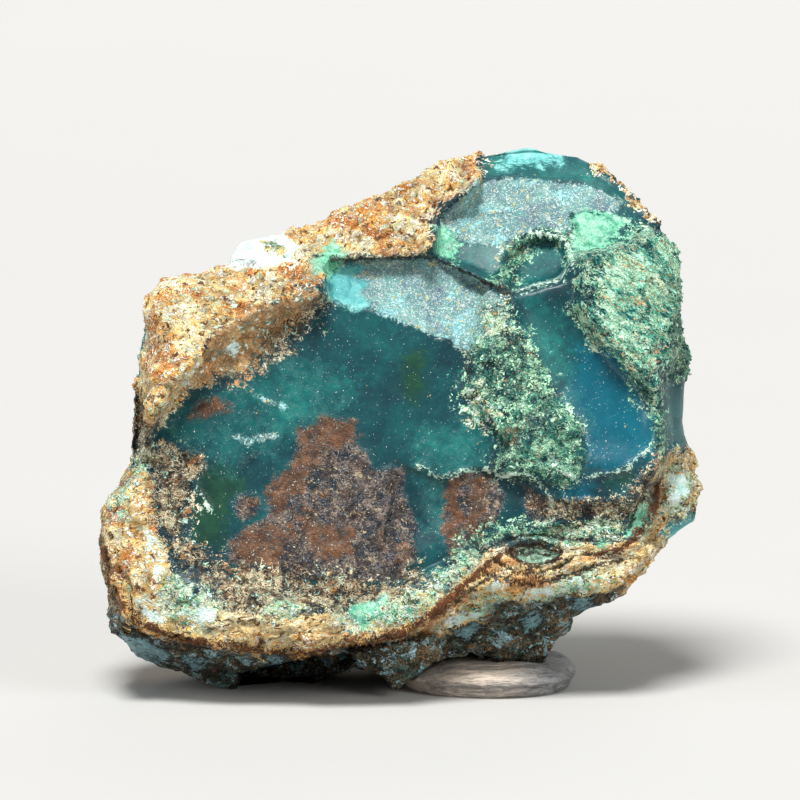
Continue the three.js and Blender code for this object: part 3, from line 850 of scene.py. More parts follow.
    Mark.SLATE: Outline.several(
        (-27.6, -20.5, -25.2, -20.9, -22.8, -22.2, -22.9, -23.2, -25.4, -23, -27.2, -22),
        (-21.4, -22.5, -19.8, -22.8, -18.6, -23.8, -20.6, -23.8),
        (-13.8, -22.2, -11.4, -22, -10.4, -22.9, -12.6, -23.4),
        (5.6, -19.8, 7.6, -19, 8.4, -19.9, 6.6, -21),
        (12.2, -18.8, 14, -18.2, 14.6, -19.4, 13, -20),
        (17.4, -17, 18.8, -16.4, 19.4, -17.4, 18.2, -18),
    ),
    Mark.WHITE: Outline.several(
        (-25.8, -10, -24.6, -9.8, -24, -11.6, -25.2, -12.2),
        (-24.8, -13.4, -23.8, -13.4, -23.6, -14.8, -24.6, -14.8),
        (-26.2, -17, -25.2, -16.9, -23.6, -18.8, -24.8, -19.3, -25.8, -18.4),
        (-20.2, -17.9, -19, -17.8, -18.4, -18.6, -19.8, -19),
        (-21.6, 6.6, -21.2, 6.6, -21.2, 4.8, -21.8, 4.6),
        (-16.8, 8.4, -16.4, 8.4, -16.4, 7.6, -16.8, 7.6),
        (-26.6, -6.6, -26, -6.4, -25.8, -7.2, -26.4, -7.6),
        (27.2, -4.6, 28.4, -4.2, 28.8, -6.2, 27.4, -6.8),
        (4.4, -18.9, 6, -18.2, 7.8, -17.8, 8.4, -18.3, 6.8, -19, 5.2, -19.4),
        (8.6, -16, 9.8, -15, 11.2, -14.9, 10.8, -15.5, 9.6, -15.9),
        (12, -16.2, 13.4, -15.7, 14.8, -15.9, 13.6, -16.5, 12.6, -16.6),
        (17, -15.3, 18.2, -14.7, 19.2, -14.9, 18.4, -15.5),
    ),
    Mark.LENS: Outline.several(
        (11.1, -12.2, 12.4, -11.7, 14.2, -11.6, 16.2, -12.5, 15.2, -13.1, 13.6, -13.3, 12.2, -13),
    ),
    Mark.UNDER: Outline.several(
        (
            -32, -18.6, -28.4, -19, -26.8, -19.7, -24.5, -20.7, -21.5, -21.4, -16, -21.8, -10, -22.6,
            -7, -21.8, -4, -21.2, 0, -20.8, 3, -20.2, 5, -19.9, 7.6, -19.1, 9.2, -17.9, 11.6, -16.7,
            14, -17, 18, -16.5, 21, -15.8, 24, -14.4, 27, -12, 32, -12, 28, -30, -34, -30,
        ),
    ),
}
HOLES = {
    Mark.NODULE: Outline.through(-13.6, 17.9, -11.8, 18.1, -11, 17.7, -11.3, 17.2, -13.3, 17.2),
}
TRAILS = {
    Mark.SEAM: Trail.several(
        (
            -29.2, -12, -28.7, -15, -28, -17, -26, -19.1, -23, -20.5, -20, -21, -16, -21.3, -10, -22.2,
            -7, -21.3, -4, -20.8, 0, -20.2, 2, -19.1, 4, -17.8, 7, -15.2, 9.4, -13.4, 11.4, -12,
        ),
        (20, -12.5, 22.3, -11.9, 23.8, -10.6, 24.9, -8.8, 25.6, -6.8, 26, -5),
    ),
    Mark.VEIN: Trail.several(
        (
            2.2, -3.6, 3.6, -4.5, 5, -4.8, 6.5, -4, 9, -3.9, 10.4, -4.6, 12.6, -4, 14, -4.8, 14.6, -6,
            15.4, -7.2,
        ),
        (-20.6, -5.2, -20, -5.9, -19.3, -6.9, -18.8, -7.8),
        (15.2, -2.6, 16.4, -4, 17.8, -4.9, 19.8, -4.5, 21.8, -4.2, 23.6, -3.2, 24.8, -2),
        (11.1, 13.5, 12.4, 14, 14.2, 14.5, 16.2, 15.2, 17.3, 16.6, 17.3, 18.2, 16, 19.5, 13.4, 19.7),
        (13.8, -12.95, 15.1, -12.75),
        (13.6, -13.15, 14.5, -13.2, 15.3, -12.95),
    ),
    Mark.CRACK: Trail.several(
        # painted shadow: a dark line under the slab's overhanging lower lip; the other trails are dark
        # cracks
        (-6.6, 17.1, -3, 17, 1, 17.3, 3.6, 17.1, 6.6, 15.9, 9.6, 14.3, 11.2, 13.6),
        (
            10.9, -12.4, 12.3, -11.45, 14.2, -11.15, 16.3, -12.15, 15.6, -13.3, 13.8, -13.7, 12, -13.4,
            10.9, -12.4,
        ),
        (8.4, -12.3, 10.4, -11.2, 12.4, -10.5, 14.4, -10.5, 16.6, -10.9, 19, -11.1, 22, -11.2),
        (9.6, -13.2, 11.4, -14.1, 13.6, -14.4, 15.8, -13.9, 17.4, -12.8, 19.4, -12.4),
        (9, -14.6, 12.6, -15.3, 16.4, -14.9, 19.4, -13.6, 22.4, -13.1),
        (25.1, -4.5, 24.4, -6.5, 23.6, -8.2, 23.2, -9.7),
        (11.9, -12.4, 12.9, -12.05, 14.1, -12.1, 15.1, -12.35),
        (4.6, -17.9, 7.2, -15.9, 9.6, -14.6),
        (-23.4, -20.9, -20, -21.7, -16, -21.9, -10, -22.7, -7, -21.9),
        (-27.4, -19.4, -25.4, -20.4, -24.6, -21.6, -22.6, -21.9),
    ),
}
HALF_WIDTHS = {Mark.SEAM: 0.36, Mark.VEIN: 0.14, Mark.CRACK: 0.1}
WOBBLES = {
    Mark.BROWN: 0.3, Mark.RUST: 0.5, Mark.FROST: 0.25, Mark.LENS: 0.05, Mark.GREEN: 0.4, Mark.AQUA: 0.4,
    Mark.WHITE: 0.5, Mark.NODULE: 0.2, Mark.SLATE: 0.3, Mark.SLOPE: 0.9, Mark.UNDER: 1.1,
}
LINES = {Mark.VEIN: Mark.VEIN_SIDE, Mark.CRACK: Mark.CRACK_SIDE}
BACK_PATTERNS = {  # size, reach, offset and shift of the noise that spreads a mark over the sides and back
    Mark.JADE: (11, 8, -1.4, 7),
    Mark.GREEN: (11, 8, -2.4, 131),
    Mark.DEEP: (12, 8, -1.2, 109),
    Mark.VEIL: (9, 7, -1.4, 211),
    Mark.AQUA: (13, 8, -2.6, 233),
    Mark.FROST: (14, 8, -1.0, 83),
    Mark.BROWN: (9, 8, -1.4, 31),
    Mark.RUST: (8, 7, -2.6, 401),
    Mark.TAN: (7, 7, -2.2, 359),
    Mark.DRUSE: (10, 8, -1.8, 57),
    Mark.RIND: (13, 9, 0.4, 3),
    Mark.GRIT: (8, 8, -1.6, 257),
    Mark.LEDGE: (10, 8, -2.2, 281),
    Mark.MINT: (6, 6, -2.0, 157),
    Mark.CHALK: (7, 7, -1.8, 331),
    Mark.SLOPE: (8, 7, -2.0, 373),
    Mark.WHITE: (5, 6, -2.2, 307),
    Mark.SLATE: (5, 6, -2.6, 419),
}


@dataclass
class Markings:
    """Where each mark lies on a side of the stone."""

    wobble: float = 0.75
    wobble_sizes: Spot = (2.6, 1.1)
    fine_wobble: float = 0.6
    wobble_shift: float = 23.7
    line_wobble: float = 0.35
    line_wobble_size: float = 1.3
    line_shift: float = 61.3
    octaves: int = 5
    gain: float = 0.55
    low_rind: Spot = (-14, -24)
    far: float = 3.0

    def on_face(self, x: Array, v: Array, points: Array) -> dict[Mark, Array]:
        """Distances to the marks' borders over the face's plan.

        Args:
            x: Place to the right on the plan.
            v: Place up the plan.
            points: The points in the upright frame, for the borders' own unevenness.

        Returns:
            For each mark, the distance to its border, positive inside.
        """
        result = {}
        coarse, fine = self.wobble_sizes
        for number, (mark, outlines) in enumerate(OUTLINES.items()):
            own = points + self.wobble_shift * number
            uneven = Noise.value(own, coarse) + self.fine_wobble * Noise.value(own, fine)
            inside = np.max([outline.inside(x, v) for outline in outlines], axis=0)
            if mark in HOLES:
                inside = np.minimum(inside, -HOLES[mark].inside(x, v))
            result[mark] = inside + WOBBLES.get(mark, self.wobble) * uneven
        uneven = 1 + self.line_wobble * Noise.value(points + self.line_shift, self.line_wobble_size)
        for mark, trails in TRAILS.items():
            found = [trail.away(x, v) for trail in trails]
            away = np.min([distance for distance, _ in found], axis=0)
            result[mark] = HALF_WIDTHS[mark] * uneven - away
            if mark in LINES:
                nearest = [distance <= away for distance, _ in found]
                result[LINES[mark]] = np.select(nearest, [side for _, side in found])
        return {mark: np.clip(distance, -self.far, self.far) for mark, distance in result.items()}

    def behind(self, points: Array) -> dict[Mark, Array]:
        """The same over the sides and the back, from the patterns.

        Args:
            points: The points in the upright frame.

        Returns:
            For each mark, the distance to its border, positive inside.
        """
        result = {mark: np.full(len(points), -self.far) for mark in Mark}
        for side in LINES.values():
            result[side] = -result[side]
        for mark, (size, reach, offset, shift) in BACK_PATTERNS.items():
            noise = Noise.layered(points + shift, size, self.octaves, self.gain)
            result[mark] = np.clip(offset + reach * noise, -self.far, self.far)
        low = 3 * smoothstep(points[:, 2], *self.low_rind) - 1
        result[Mark.RIND] = np.maximum(result[Mark.RIND], low + 0.3 * result[Mark.MINT])
        return result

    def over(self, sheet: Sheet, form: StoneForm) -> dict[Mark, Array]:
        """The marks of a whole sheet: the back takes over from the rim's marks behind it.

        Args:
            sheet: The side.
            form: The stone's form.

        Returns:
            For each mark, the distance to its border, positive inside.
        """
        if sheet.side is Side.FRONT:
            return self.on_face(sheet.x, sheet.v, sheet.points)
        radius, _ = form.rim_at(sheet.angle)
        at_rim = self.on_face(np.cos(sheet.angle) * radius, np.sin(sheet.angle) * radius, sheet.points)
        behind = self.behind(sheet.points)
        change = smoothstep(fullness(sheet.share, sheet.side.bluntness), 0.05, 0.75)
        return {mark: mix(at_rim[mark], behind[mark], change) for mark in Mark}


@dataclass(frozen=True)
class Surface:
    """A mark's surface: how rough it is between the mesh's points, how softly it begins, and how
    far each unevenness stands out in it. One with no soft border keeps the relief under it."""

    coarse: float
    soft: float = 0.0
    lumps: float = 0.0
    fine: float = 0.0
    spikes: float = 0.0
    wrinkles: float = 0.0
    slants: float = 0.0
    pits: float = 0.0
    lift: float = 0.0
    amount: float = 1.0
    on_rind: float = 0.0

    def height(self, forms: dict[str, Array]) -> Array:
        """How far this surface stands out, from the unevennesses by name."""
        return self.lift + sum(getattr(self, name) * form for name, form in forms.items())


SURFACES = {
    Mark.VEIL: Surface(0.06),
    Mark.AQUA: Surface(0.08),
    Mark.FROST: Surface(0.3, soft=0.5, fine=0.05, spikes=0.042),
    Mark.BROWN: Surface(0.5, soft=0.3, lumps=0.096, fine=0.24, spikes=0.12),
    Mark.RUST: Surface(0.25),
    Mark.TAN: Surface(0.6, soft=0.5, lumps=0.45, fine=0.2),
    Mark.DRUSE: Surface(1.0, soft=0.35, lumps=0.35, fine=0.15, spikes=0.42, wrinkles=0.3),
    Mark.RIND: Surface(0.9, soft=0.35, lumps=0.75, fine=0.25, pits=-0.42, lift=0.22),
    Mark.GRIT: Surface(1.0, soft=0.6, lumps=0.3, fine=0.2, spikes=0.21),
    Mark.LEDGE: Surface(0.8, soft=0.4, fine=0.12, wrinkles=0.7, lift=0.11),
    Mark.MINT: Surface(0.3, soft=0.5, lumps=0.3, fine=0.1, lift=0.1, amount=0.3, on_rind=0.5),
    Mark.CHALK: Surface(0.9, soft=0.5, lumps=0.3, fine=0.2, spikes=0.21, lift=0.1, amount=0.8),
    Mark.SLOPE: Surface(0.9, soft=0.5, fine=0.15, spikes=0.2, slants=0.6, lift=0.1),
    Mark.WHITE: Surface(0.35, soft=0.4, fine=0.06, lift=0.2),
    Mark.NODULE: Surface(0.12, soft=0.25, fine=0.03, lift=0.2),
    Mark.UNDER: Surface(0.9, soft=0.6, lumps=0.38, fine=0.3, wrinkles=0.228),
    Mark.SLATE: Surface(0.25, soft=0.3, fine=0.1, lift=0.15),
    Mark.SEAM: Surface(0.9),
    Mark.VEIN: Surface(0.5),
}
OPAL_ROUGHNESS = 0.03  # of the bare opal, in its relief and between the mesh's points
SLANT = np.array([(0.28, 0, 1.27), (0, 0.8, 0), (-0.28, 0, 1.27)])
FLAT = (0.4, 0.8, 2.1)  # how wrinkles are stretched along x, y and z


@dataclass
class Relief:
    """Fine relief of each mark's surface, in stone units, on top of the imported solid's shape."""

    lump_size: float = 2.6
    fine_size: float = 0.8
    pit_size: float = 0.95
    crystal_size: float = 0.7
    wrinkle_size: float = 1.2
    uneven: float = 0.35
    seam: float = 0.2
    vein: float = 0.12
    crack: float = 0.2
    lens: float = 0.7
    lens_lip: float = 0.42
    lens_at: Spot = (13.6, -12.4)
    lens_size: Spot = (2.6, 1.05)
    lens_tilt: float = 0.06
    nodule: float = 0.9
    nodule_at: Spot = (-13.3, 17.3)
    nodule_size: Spot = (3.6, 2.0)

    def forms(self, points: Array) -> dict[str, Array]:
        """The unevennesses that every surface picks from.

        Args:
            points: The surface before the relief, in the upright frame.

        Returns:
            Each one's values by its name in Surface.
        """
        hole, chance = Noise.cells(points, self.pit_size)
        crystal, size = Noise.cells(points + 5, self.crystal_size)
        return {
            "lumps": Noise.lumps(points, self.lump_size, 4, 0.6) - 0.5,
            "fine": Noise.layered(points, self.fine_size, 3, 0.65),
            "spikes": (0.62 - crystal) * (0.4 + size),
            "wrinkles": Noise.lumps(points * FLAT, self.wrinkle_size, 3, 0.6) - 0.4,
            "slants": Noise.lumps(points @ SLANT, self.wrinkle_size, 3, 0.6) - 0.4,
            "pits": smoothstep(-hole, -0.45, -0.12) * smoothstep(chance, 0.5, 0.62),
        }

    def height(self, points: Array, marks: dict[Mark, Array]) -> tuple[Array, Array]:
        """How far the surface stands out along its normals.

        Args:
            points: The surface before the relief, in the upright frame.
            marks: The marks there.

        Returns:
            The height in stone units, and the painted shade of the relief: about -1 in pits to 1 on tips.
        """
        forms = self.forms(points)
        uneven = self.uneven * forms["fine"]
        covers = {
            mark: smoothstep(marks[mark] + uneven, -surface.soft, surface.soft)
            for mark, surface in SURFACES.items() if surface.soft
        }
        rind = covers[Mark.RIND]
        high = OPAL_ROUGHNESS * forms["fine"]
        for mark, cover in covers.items():
            surface = SURFACES[mark]
            share = cover * (surface.amount + surface.on_rind * rind)
            high = mix(high, surface.height(forms), share)
        seam = smoothstep(marks[Mark.SEAM] + 0.5 * uneven, -0.5, 0.4)
        high = high + seam * (self.seam + 0.3 * forms["wrinkles"] - 0.25 * forms["pits"])
        high = high + self.vein * smoothstep(marks[Mark.VEIN], -0.15, 0.1)
        high = high - self.crack * smoothstep(marks[Mark.CRACK], -0.2, 0.1)
        # Painted shade and highlight: the height, lowered on the rind, later darkens pits and rind and
        # lightens tips in the colour.
        return high, np.clip(2 * high - 0.4 * rind, -1, 1)

    @staticmethod
    def coarseness(marks: dict[Mark, Array]) -> Array:
        """How rough the surface is between the mesh's points.

        Args:
            marks: The marks of the surface.

        Returns:
            About 0 on opal to 1 on druse, for each point.
        """
        result = np.full(marks[Mark.RIND].shape, OPAL_ROUGHNESS)
        for mark, surface in SURFACES.items():
            result = mix(result, surface.coarse, smoothstep(marks[mark], -0.4, 0.3))
        return result

    def ledge(self, x: Array, v: Array) -> Array:
        """The ledge's lens-shaped hollow and the white nodule.

        Args:
            x: Place to the right on the plan.
            v: Place up the plan.

        Returns:
            What they add to the height.
        """
        across = (x - self.nodule_at[0]) / self.nodule_size[0]
        along = (v - self.nodule_at[1]) / self.nodule_size[1]
        nodule = self.nodule * np.sqrt(np.clip(1 - across**2 - along**2, 0, 1))
        across = (x - self.lens_at[0]) / self.lens_size[0]
        along = (v - self.lens_at[1] - self.lens_tilt * (x - self.lens_at[0])) / self.lens_size[1]
        out = np.hypot(across, along)
        lips = np.exp(-(((out - 1.25) / 0.3) ** 2))
        return nodule + self.lens_lip * lips - self.lens * smoothstep(-out, -1.05, -0.5)


@dataclass
class Skin:
    """The finished surface of the stone with everything its material reads."""

    points: Array
    normals: Array
    marks: dict[Mark, Array]
    # Painted shade of the relief, which the material turns into darker pits and lighter tips.
    relief_shade: Array

    def dress(self, mesh: Mesh, chosen: Array, tone: Array) -> None:
        """Give a mesh the attributes that the stone's material reads.

        Args:
            mesh: The mesh.
            chosen: For each vertex of the mesh, its place on this skin.
            tone: For each vertex, how much lighter or darker than its surroundings it is.
        """
        columns = {mark.value: values[chosen] for mark, values in self.marks.items()}
        columns["relief_shade"] = self.relief_shade[chosen]
        columns["coarseness"] = Relief.coarseness(self.marks)[chosen]
        columns["tone"] = tone
        for name, values in columns.items():
            attribute = mesh.attributes.new(name, "FLOAT", "POINT")
            attribute.data.foreach_set("value", values.astype(np.float32))


def make_mesh(name: str, points: Array, faces: Array, places: Array) -> Mesh:
    """A smooth-shaded mesh with a map for its finish.

    Args:
        name: Name of the mesh.
        points: Vertices in metres.
        faces: Vertex indices, one row for each face.
        places: For each face's corners, their places on the map.

    Returns:
        The mesh.
    """
    mesh = bpy.data.meshes.new(name)
    mesh.from_pydata(points.tolist(), [], faces.tolist())
    layer = mesh.uv_layers.new(name="OFBake")
    layer.data.foreach_set("uv", places.astype(np.float32).ravel())
    mesh.shade_smooth()
    return mesh


def half_map(faces: Array, count: int, start: float) -> Array:
    """Places of a square grid's corners on one half of the map.

    Args:
        faces: The grid's quads.
        count: Points along an edge of the grid.
        start: Where that half begins.

    Returns:
        Two numbers for each corner of each quad.
    """
    row, column = np.divmod(faces, count)
    across = start + MAP_MARGIN + (0.5 - 2 * MAP_MARGIN) * column / (count - 1)
    up = MAP_MARGIN + (1 - 2 * MAP_MARGIN) * row / (count - 1)
    return np.stack([across, up], axis=2)


def closed_mesh(name: str, points: Array, rim: Array) -> tuple[Mesh, Array]:
    """A mesh of two square grids that are joined along their rim.

    Args:
        name: Name of the mesh.
        points: The outer grid's points in metres, then the other's.
        rim: True at the points of a grid that lie on the rim.

    Returns:
        The mesh, and the place of each of its vertices among the points.
    """
    count = math.isqrt(len(rim))
    first, second = grid_faces(count, True), grid_faces(count, False)
    whole = np.arange(count**2) + count**2
    whole[rim] = np.nonzero(rim)[0]
    kept, faces = np.unique(np.concatenate([first, whole[second]]), return_inverse=True)
    places = np.concatenate([half_map(first, count, 0.0), half_map(second, count, 0.5)])
    return make_mesh(name, points[kept], faces.reshape(-1, 4), places), kept


def place_piece(mesh: Mesh, finish: Material) -> Piece:
    """Put a mesh into the scene as a piece that rides on the part.

    Args:
        mesh: The piece's mesh.
        finish: Its material.

    Returns:
        The piece.
    """
    mesh.materials.append(finish)
    piece = bpy.data.objects.new(mesh.name, mesh)
    bpy.context.scene.collection.objects.link(piece)
    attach(piece, "root")
    log.info("%s: %d faces", piece.name, len(mesh.polygons))
    return piece


@dataclass
class OpalStone:
    """The stone: one closed skin of two sides that share the rim."""

    form: StoneForm = field(default_factory=StoneForm)
    markings: Markings = field(default_factory=Markings)
    relief: Relief = field(default_factory=Relief)
    rings: int = 111
    quick_rings: int = 70

    def __post_init__(self) -> None:
        self.rings = self.rings

    @cached_property
    def sheets(self) -> list[Sheet]:
        """The two sides before their fine relief."""
        return [self.form.sheet(side, self.rings) for side in Side]

    def side_skin(self, sheet: Sheet) -> Skin:
        """One side with its marks and its fine relief.

        Args:
            sheet: The side.

        Returns:
            Its skin.
        """
        marks = self.markings.over(sheet, self.form)
        high, relief_shade = self.relief.height(sheet.points, marks)
        if sheet.side is Side.FRONT:
            high = high + self.relief.ledge(sheet.x, sheet.v)
        normals = sheet.normals()
        points = sheet.points + normals * high[:, None]
        points[:, 2] = np.maximum(points[:, 2], GROUND)
        return Skin(points, normals, marks, relief_shade)

    @cached_property
    def skin(self) -> Skin:
        """The finished skins of both sides.

        Returns:
            The skins, one after the other.
        """
        sides = [self.side_skin(sheet) for sheet in self.sheets]
        return Skin(
            points=np.concatenate([side.points for side in sides]),
            normals=np.concatenate([side.normals for side in sides]),
            marks={mark: np.concatenate([side.marks[mark] for side in sides]) for mark in Mark},
            relief_shade=np.concatenate([side.relief_shade for side in sides]),
        )

    def build_skin(self, finish: Material) -> Piece:
        """The closed surface of both sides.

        Args:
            finish: The stone's material.

        Returns:
            The piece.
        """
        points = to_metres(self.skin.points)
        mesh, kept = closed_mesh("opal_skin", points, self.sheets[0].rim_mask())
        self.skin.dress(mesh, kept, np.zeros(len(kept)))
        piece = place_piece(mesh, finish)
        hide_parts("opal_stone")
        return piece


@dataclass
class Grains:
    """Small crystals or crumbs that stand on the stone's skin."""

    name: str
    mark: Mark
    count: int
    size: Spot
    tall: float
    seed: int
    least: float = 0.1
    spread: float = 1.0
    brightness: float = 0.5
    clump_size: float = 2.4
    lean: float = 0.55
    jitter: float = 0.12
    clear_of_ground: float = 0.8
    bare: tuple[Mark, ...] = (Mark.WHITE, Mark.NODULE, Mark.MINT, Mark.LEDGE)
    turns: tuple[float, ...] = (0.0, 1.7, 3.1, 4.8)
    sides: tuple[tuple[int, int, int], ...] = (
        (0, 1, 4), (1, 2, 4), (2, 3, 4), (3, 0, 4), (1, 0, 5), (2, 1, 5), (3, 2, 5), (0, 3, 5),
    )

    def chances(self, skin: Skin) -> Array:
        """How likely a grain stands at each point of the skin.

        Args:
            skin: The stone's skin.

        Returns:
            Chances that add up to 1.
        """
        distance = skin.marks[self.mark]
        clumps = 0.5 + 0.5 * Noise.layered(skin.points + 7 * self.seed, self.clump_size, 3)
        chance = smoothstep(distance, self.least - 0.4, self.least + 0.5) * clumps**self.spread
        chance = chance * (skin.points[:, 2] > GROUND + self.clear_of_ground)
        for smooth in self.bare:
            chance = chance * smoothstep(-skin.marks[smooth], -0.2, 0.4)
        return chance / chance.sum()

    def build(self, skin: Skin, finish: Material) -> Piece:
        """Scatter the grains where the mark lies.

        Args:
            skin: The stone's skin.
            finish: The stone's material.

        Returns:
            The piece, one mesh of pointed grains.
        """
        random = np.random.default_rng(self.seed)
        chances = self.chances(skin)
        chosen = random.choice(len(chances), self.count, replace=True, p=chances)
        scale = mix(self.size[0], self.size[1], random.random(self.count) ** 2.5)[:, None]
        out = skin.normals[chosen]
        lean = out + self.lean * random.normal(size=out.shape)
        lean /= np.linalg.norm(lean, axis=1, keepdims=True)
        side = np.cross(lean, random.normal(size=out.shape))
        side /= np.linalg.norm(side, axis=1, keepdims=True)
        other = np.cross(lean, side)
        jitter = self.jitter * random.normal(size=out.shape)
        jitter -= out * np.maximum((jitter * out).sum(axis=1), 0)[:, None]
        base = skin.points[chosen] + jitter - out * scale * 0.2
        ring = [base + scale * (np.cos(turn) * side + np.sin(turn) * other) * 0.5 for turn in self.turns]
        tips = [base + lean * scale * self.tall, base - lean * scale * 0.5]
        points = np.stack([*ring, *tips], axis=1).reshape(-1, 3)
        points[:, 2] = np.maximum(points[:, 2], GROUND)
        corners = len(ring) + len(tips)
        first = np.arange(self.count)[:, None, None] * corners
        faces = (first + np.array(self.sides)).reshape(-1, 3)
        mesh = make_mesh(self.name, to_metres(points), faces, self.places())
        mesh.shade_flat()
        tone = np.repeat(self.brightness * random.normal(size=self.count), corners)
        skin.dress(mesh, np.repeat(chosen, corners), tone)
        return place_piece(mesh, finish)

    def places(self) -> Array:
        """Places of the grains' corners on the map: a cell for each grain, its sides fanned in it.

        Returns:
            Two numbers for each corner of each side.
        """
        across = math.ceil(math.sqrt(self.count))
        cell = np.arange(self.count)
        corner = np.stack([cell % across, cell // across], axis=1)[:, None, None] / across
        step = 2 * math.pi / len(self.sides)
        turns = np.arange(len(self.sides))[None, :, None] * step + np.array([0, step, 0])
        reach = np.array([0.45, 0.45, 0.05])
        spread = np.stack([np.cos(turns) * reach, np.sin(turns) * reach], axis=3)
        return corner + (0.5 + spread) / across


@dataclass
class PuttyWad:
    """The flat wad of mounting putty under the stone, pressed and smeared by fingers. Its middle
    is in stone units, its other lengths in metres."""

    width: float = 0.013
    thickness: float = 0.0021
    thinnest: float = 0.0002
    gap: float = 0.0003
    middle: Spot = (9.0, 9.2)
    rings: int = 64
    edge: float = 0.45
    hollow: float = 0.35
    swelling: float = 0.18
    bluntness: float = 3.0
    smear_size: float = 0.0011
    smear_height: float = 0.0002
    smear_slant: float = 0.25
    smear_stretch: Place = (0.35, 0.9, 1)

    def radius(self, angle: Array) -> Array:
        """Radius of the wad in each direction."""
        return self.width / 2 * (1 + 0.03 * np.cos(3 * angle + 2) - 0.04 * np.sin(angle))

    def smears(self, spots: Array, share: Array) -> Array:
        """Low ridges that fingers left, slanting over the wad.

        Args:
            spots: The wad's top.
            share: How far out each spot is, from 0 to 1 at the rim.

        Returns:
            Their height at each spot.
        """
        scaled = spots / self.smear_size
        slant = scaled * self.smear_stretch + (0, self.smear_slant, 0) * scaled[:, :1]
        ridge = Noise.value(slant, 1.0) + 0.5 * Noise.value(slant * 2.1, 1.0)
        return self.smear_height * ridge * smoothstep(-share, -1.0, -0.8)

    def build(self, stone: Piece, finish: Material) -> Piece:
        """Model the wad under the finished stone.

        Args:
            stone: The stone's skin, which presses into the wad.
            finish: The putty's material.

        Returns:
            The piece.
        """
        angle, ring = wrapped_grid(self.rings)
        share = np.sin(ring / self.rings * math.pi / 2)
        reach = self.radius(angle) * share
        x, y = np.cos(angle) * reach, np.sin(angle) * reach
        pressed = self.hollow * smoothstep(-x, 0.15 * self.width, 0.5 * self.width)
        swollen = self.swelling * smoothstep(x + y, 0.2 * self.width, 0.6 * self.width)
        edge = self.edge * self.thickness
        free = self.thickness * (1 - pressed + swollen)
        top = edge + (free - edge) * fullness(share, self.bluntness)
        middle = [(self.middle[axis] - MIDDLE[axis]) * UNIT for axis in (0, 1)]
        spots = np.stack([x + middle[0], y + middle[1], top], axis=1)
        spots[:, 2] += self.smears(spots, share)
        stone_tree = BVHTree.FromObject(stone, bpy.context.evaluated_depsgraph_get())
        for spot in spots:
            hit, *_ = stone_tree.ray_cast(Vector((spot[0], spot[1], 0)), Vector((0, 0, 1)))
            if hit is not None:
                spot[2] = min(spot[2], max(hit.z - self.gap, self.thinnest))
        below = spots.copy()
        below[:, 2] = edge * smoothstep(share, 0.9, 1.0)
        points = np.concatenate([np.maximum(spots, below), below])
        mesh, _ = closed_mesh("putty_wad", points, ring == self.rings)
        piece = place_piece(mesh, finish)
        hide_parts("putty_rest")
        return piece


Rgb = tuple[int, int, int]
Colour = tuple[float, float, float, float]
Value = float | Colour | Place | Socket
Given = Sequence[Value] | dict[int | str, Value]


def linear(shown: Rgb) -> Colour:
    """A linear colour from display values of 0 to 255."""
    parts = [part / 255 for part in shown]
    return (*(p / 12.92 if p <= 0.04045 else ((p + 0.055) / 1.055) ** 2.4 for p in parts), 1.0)


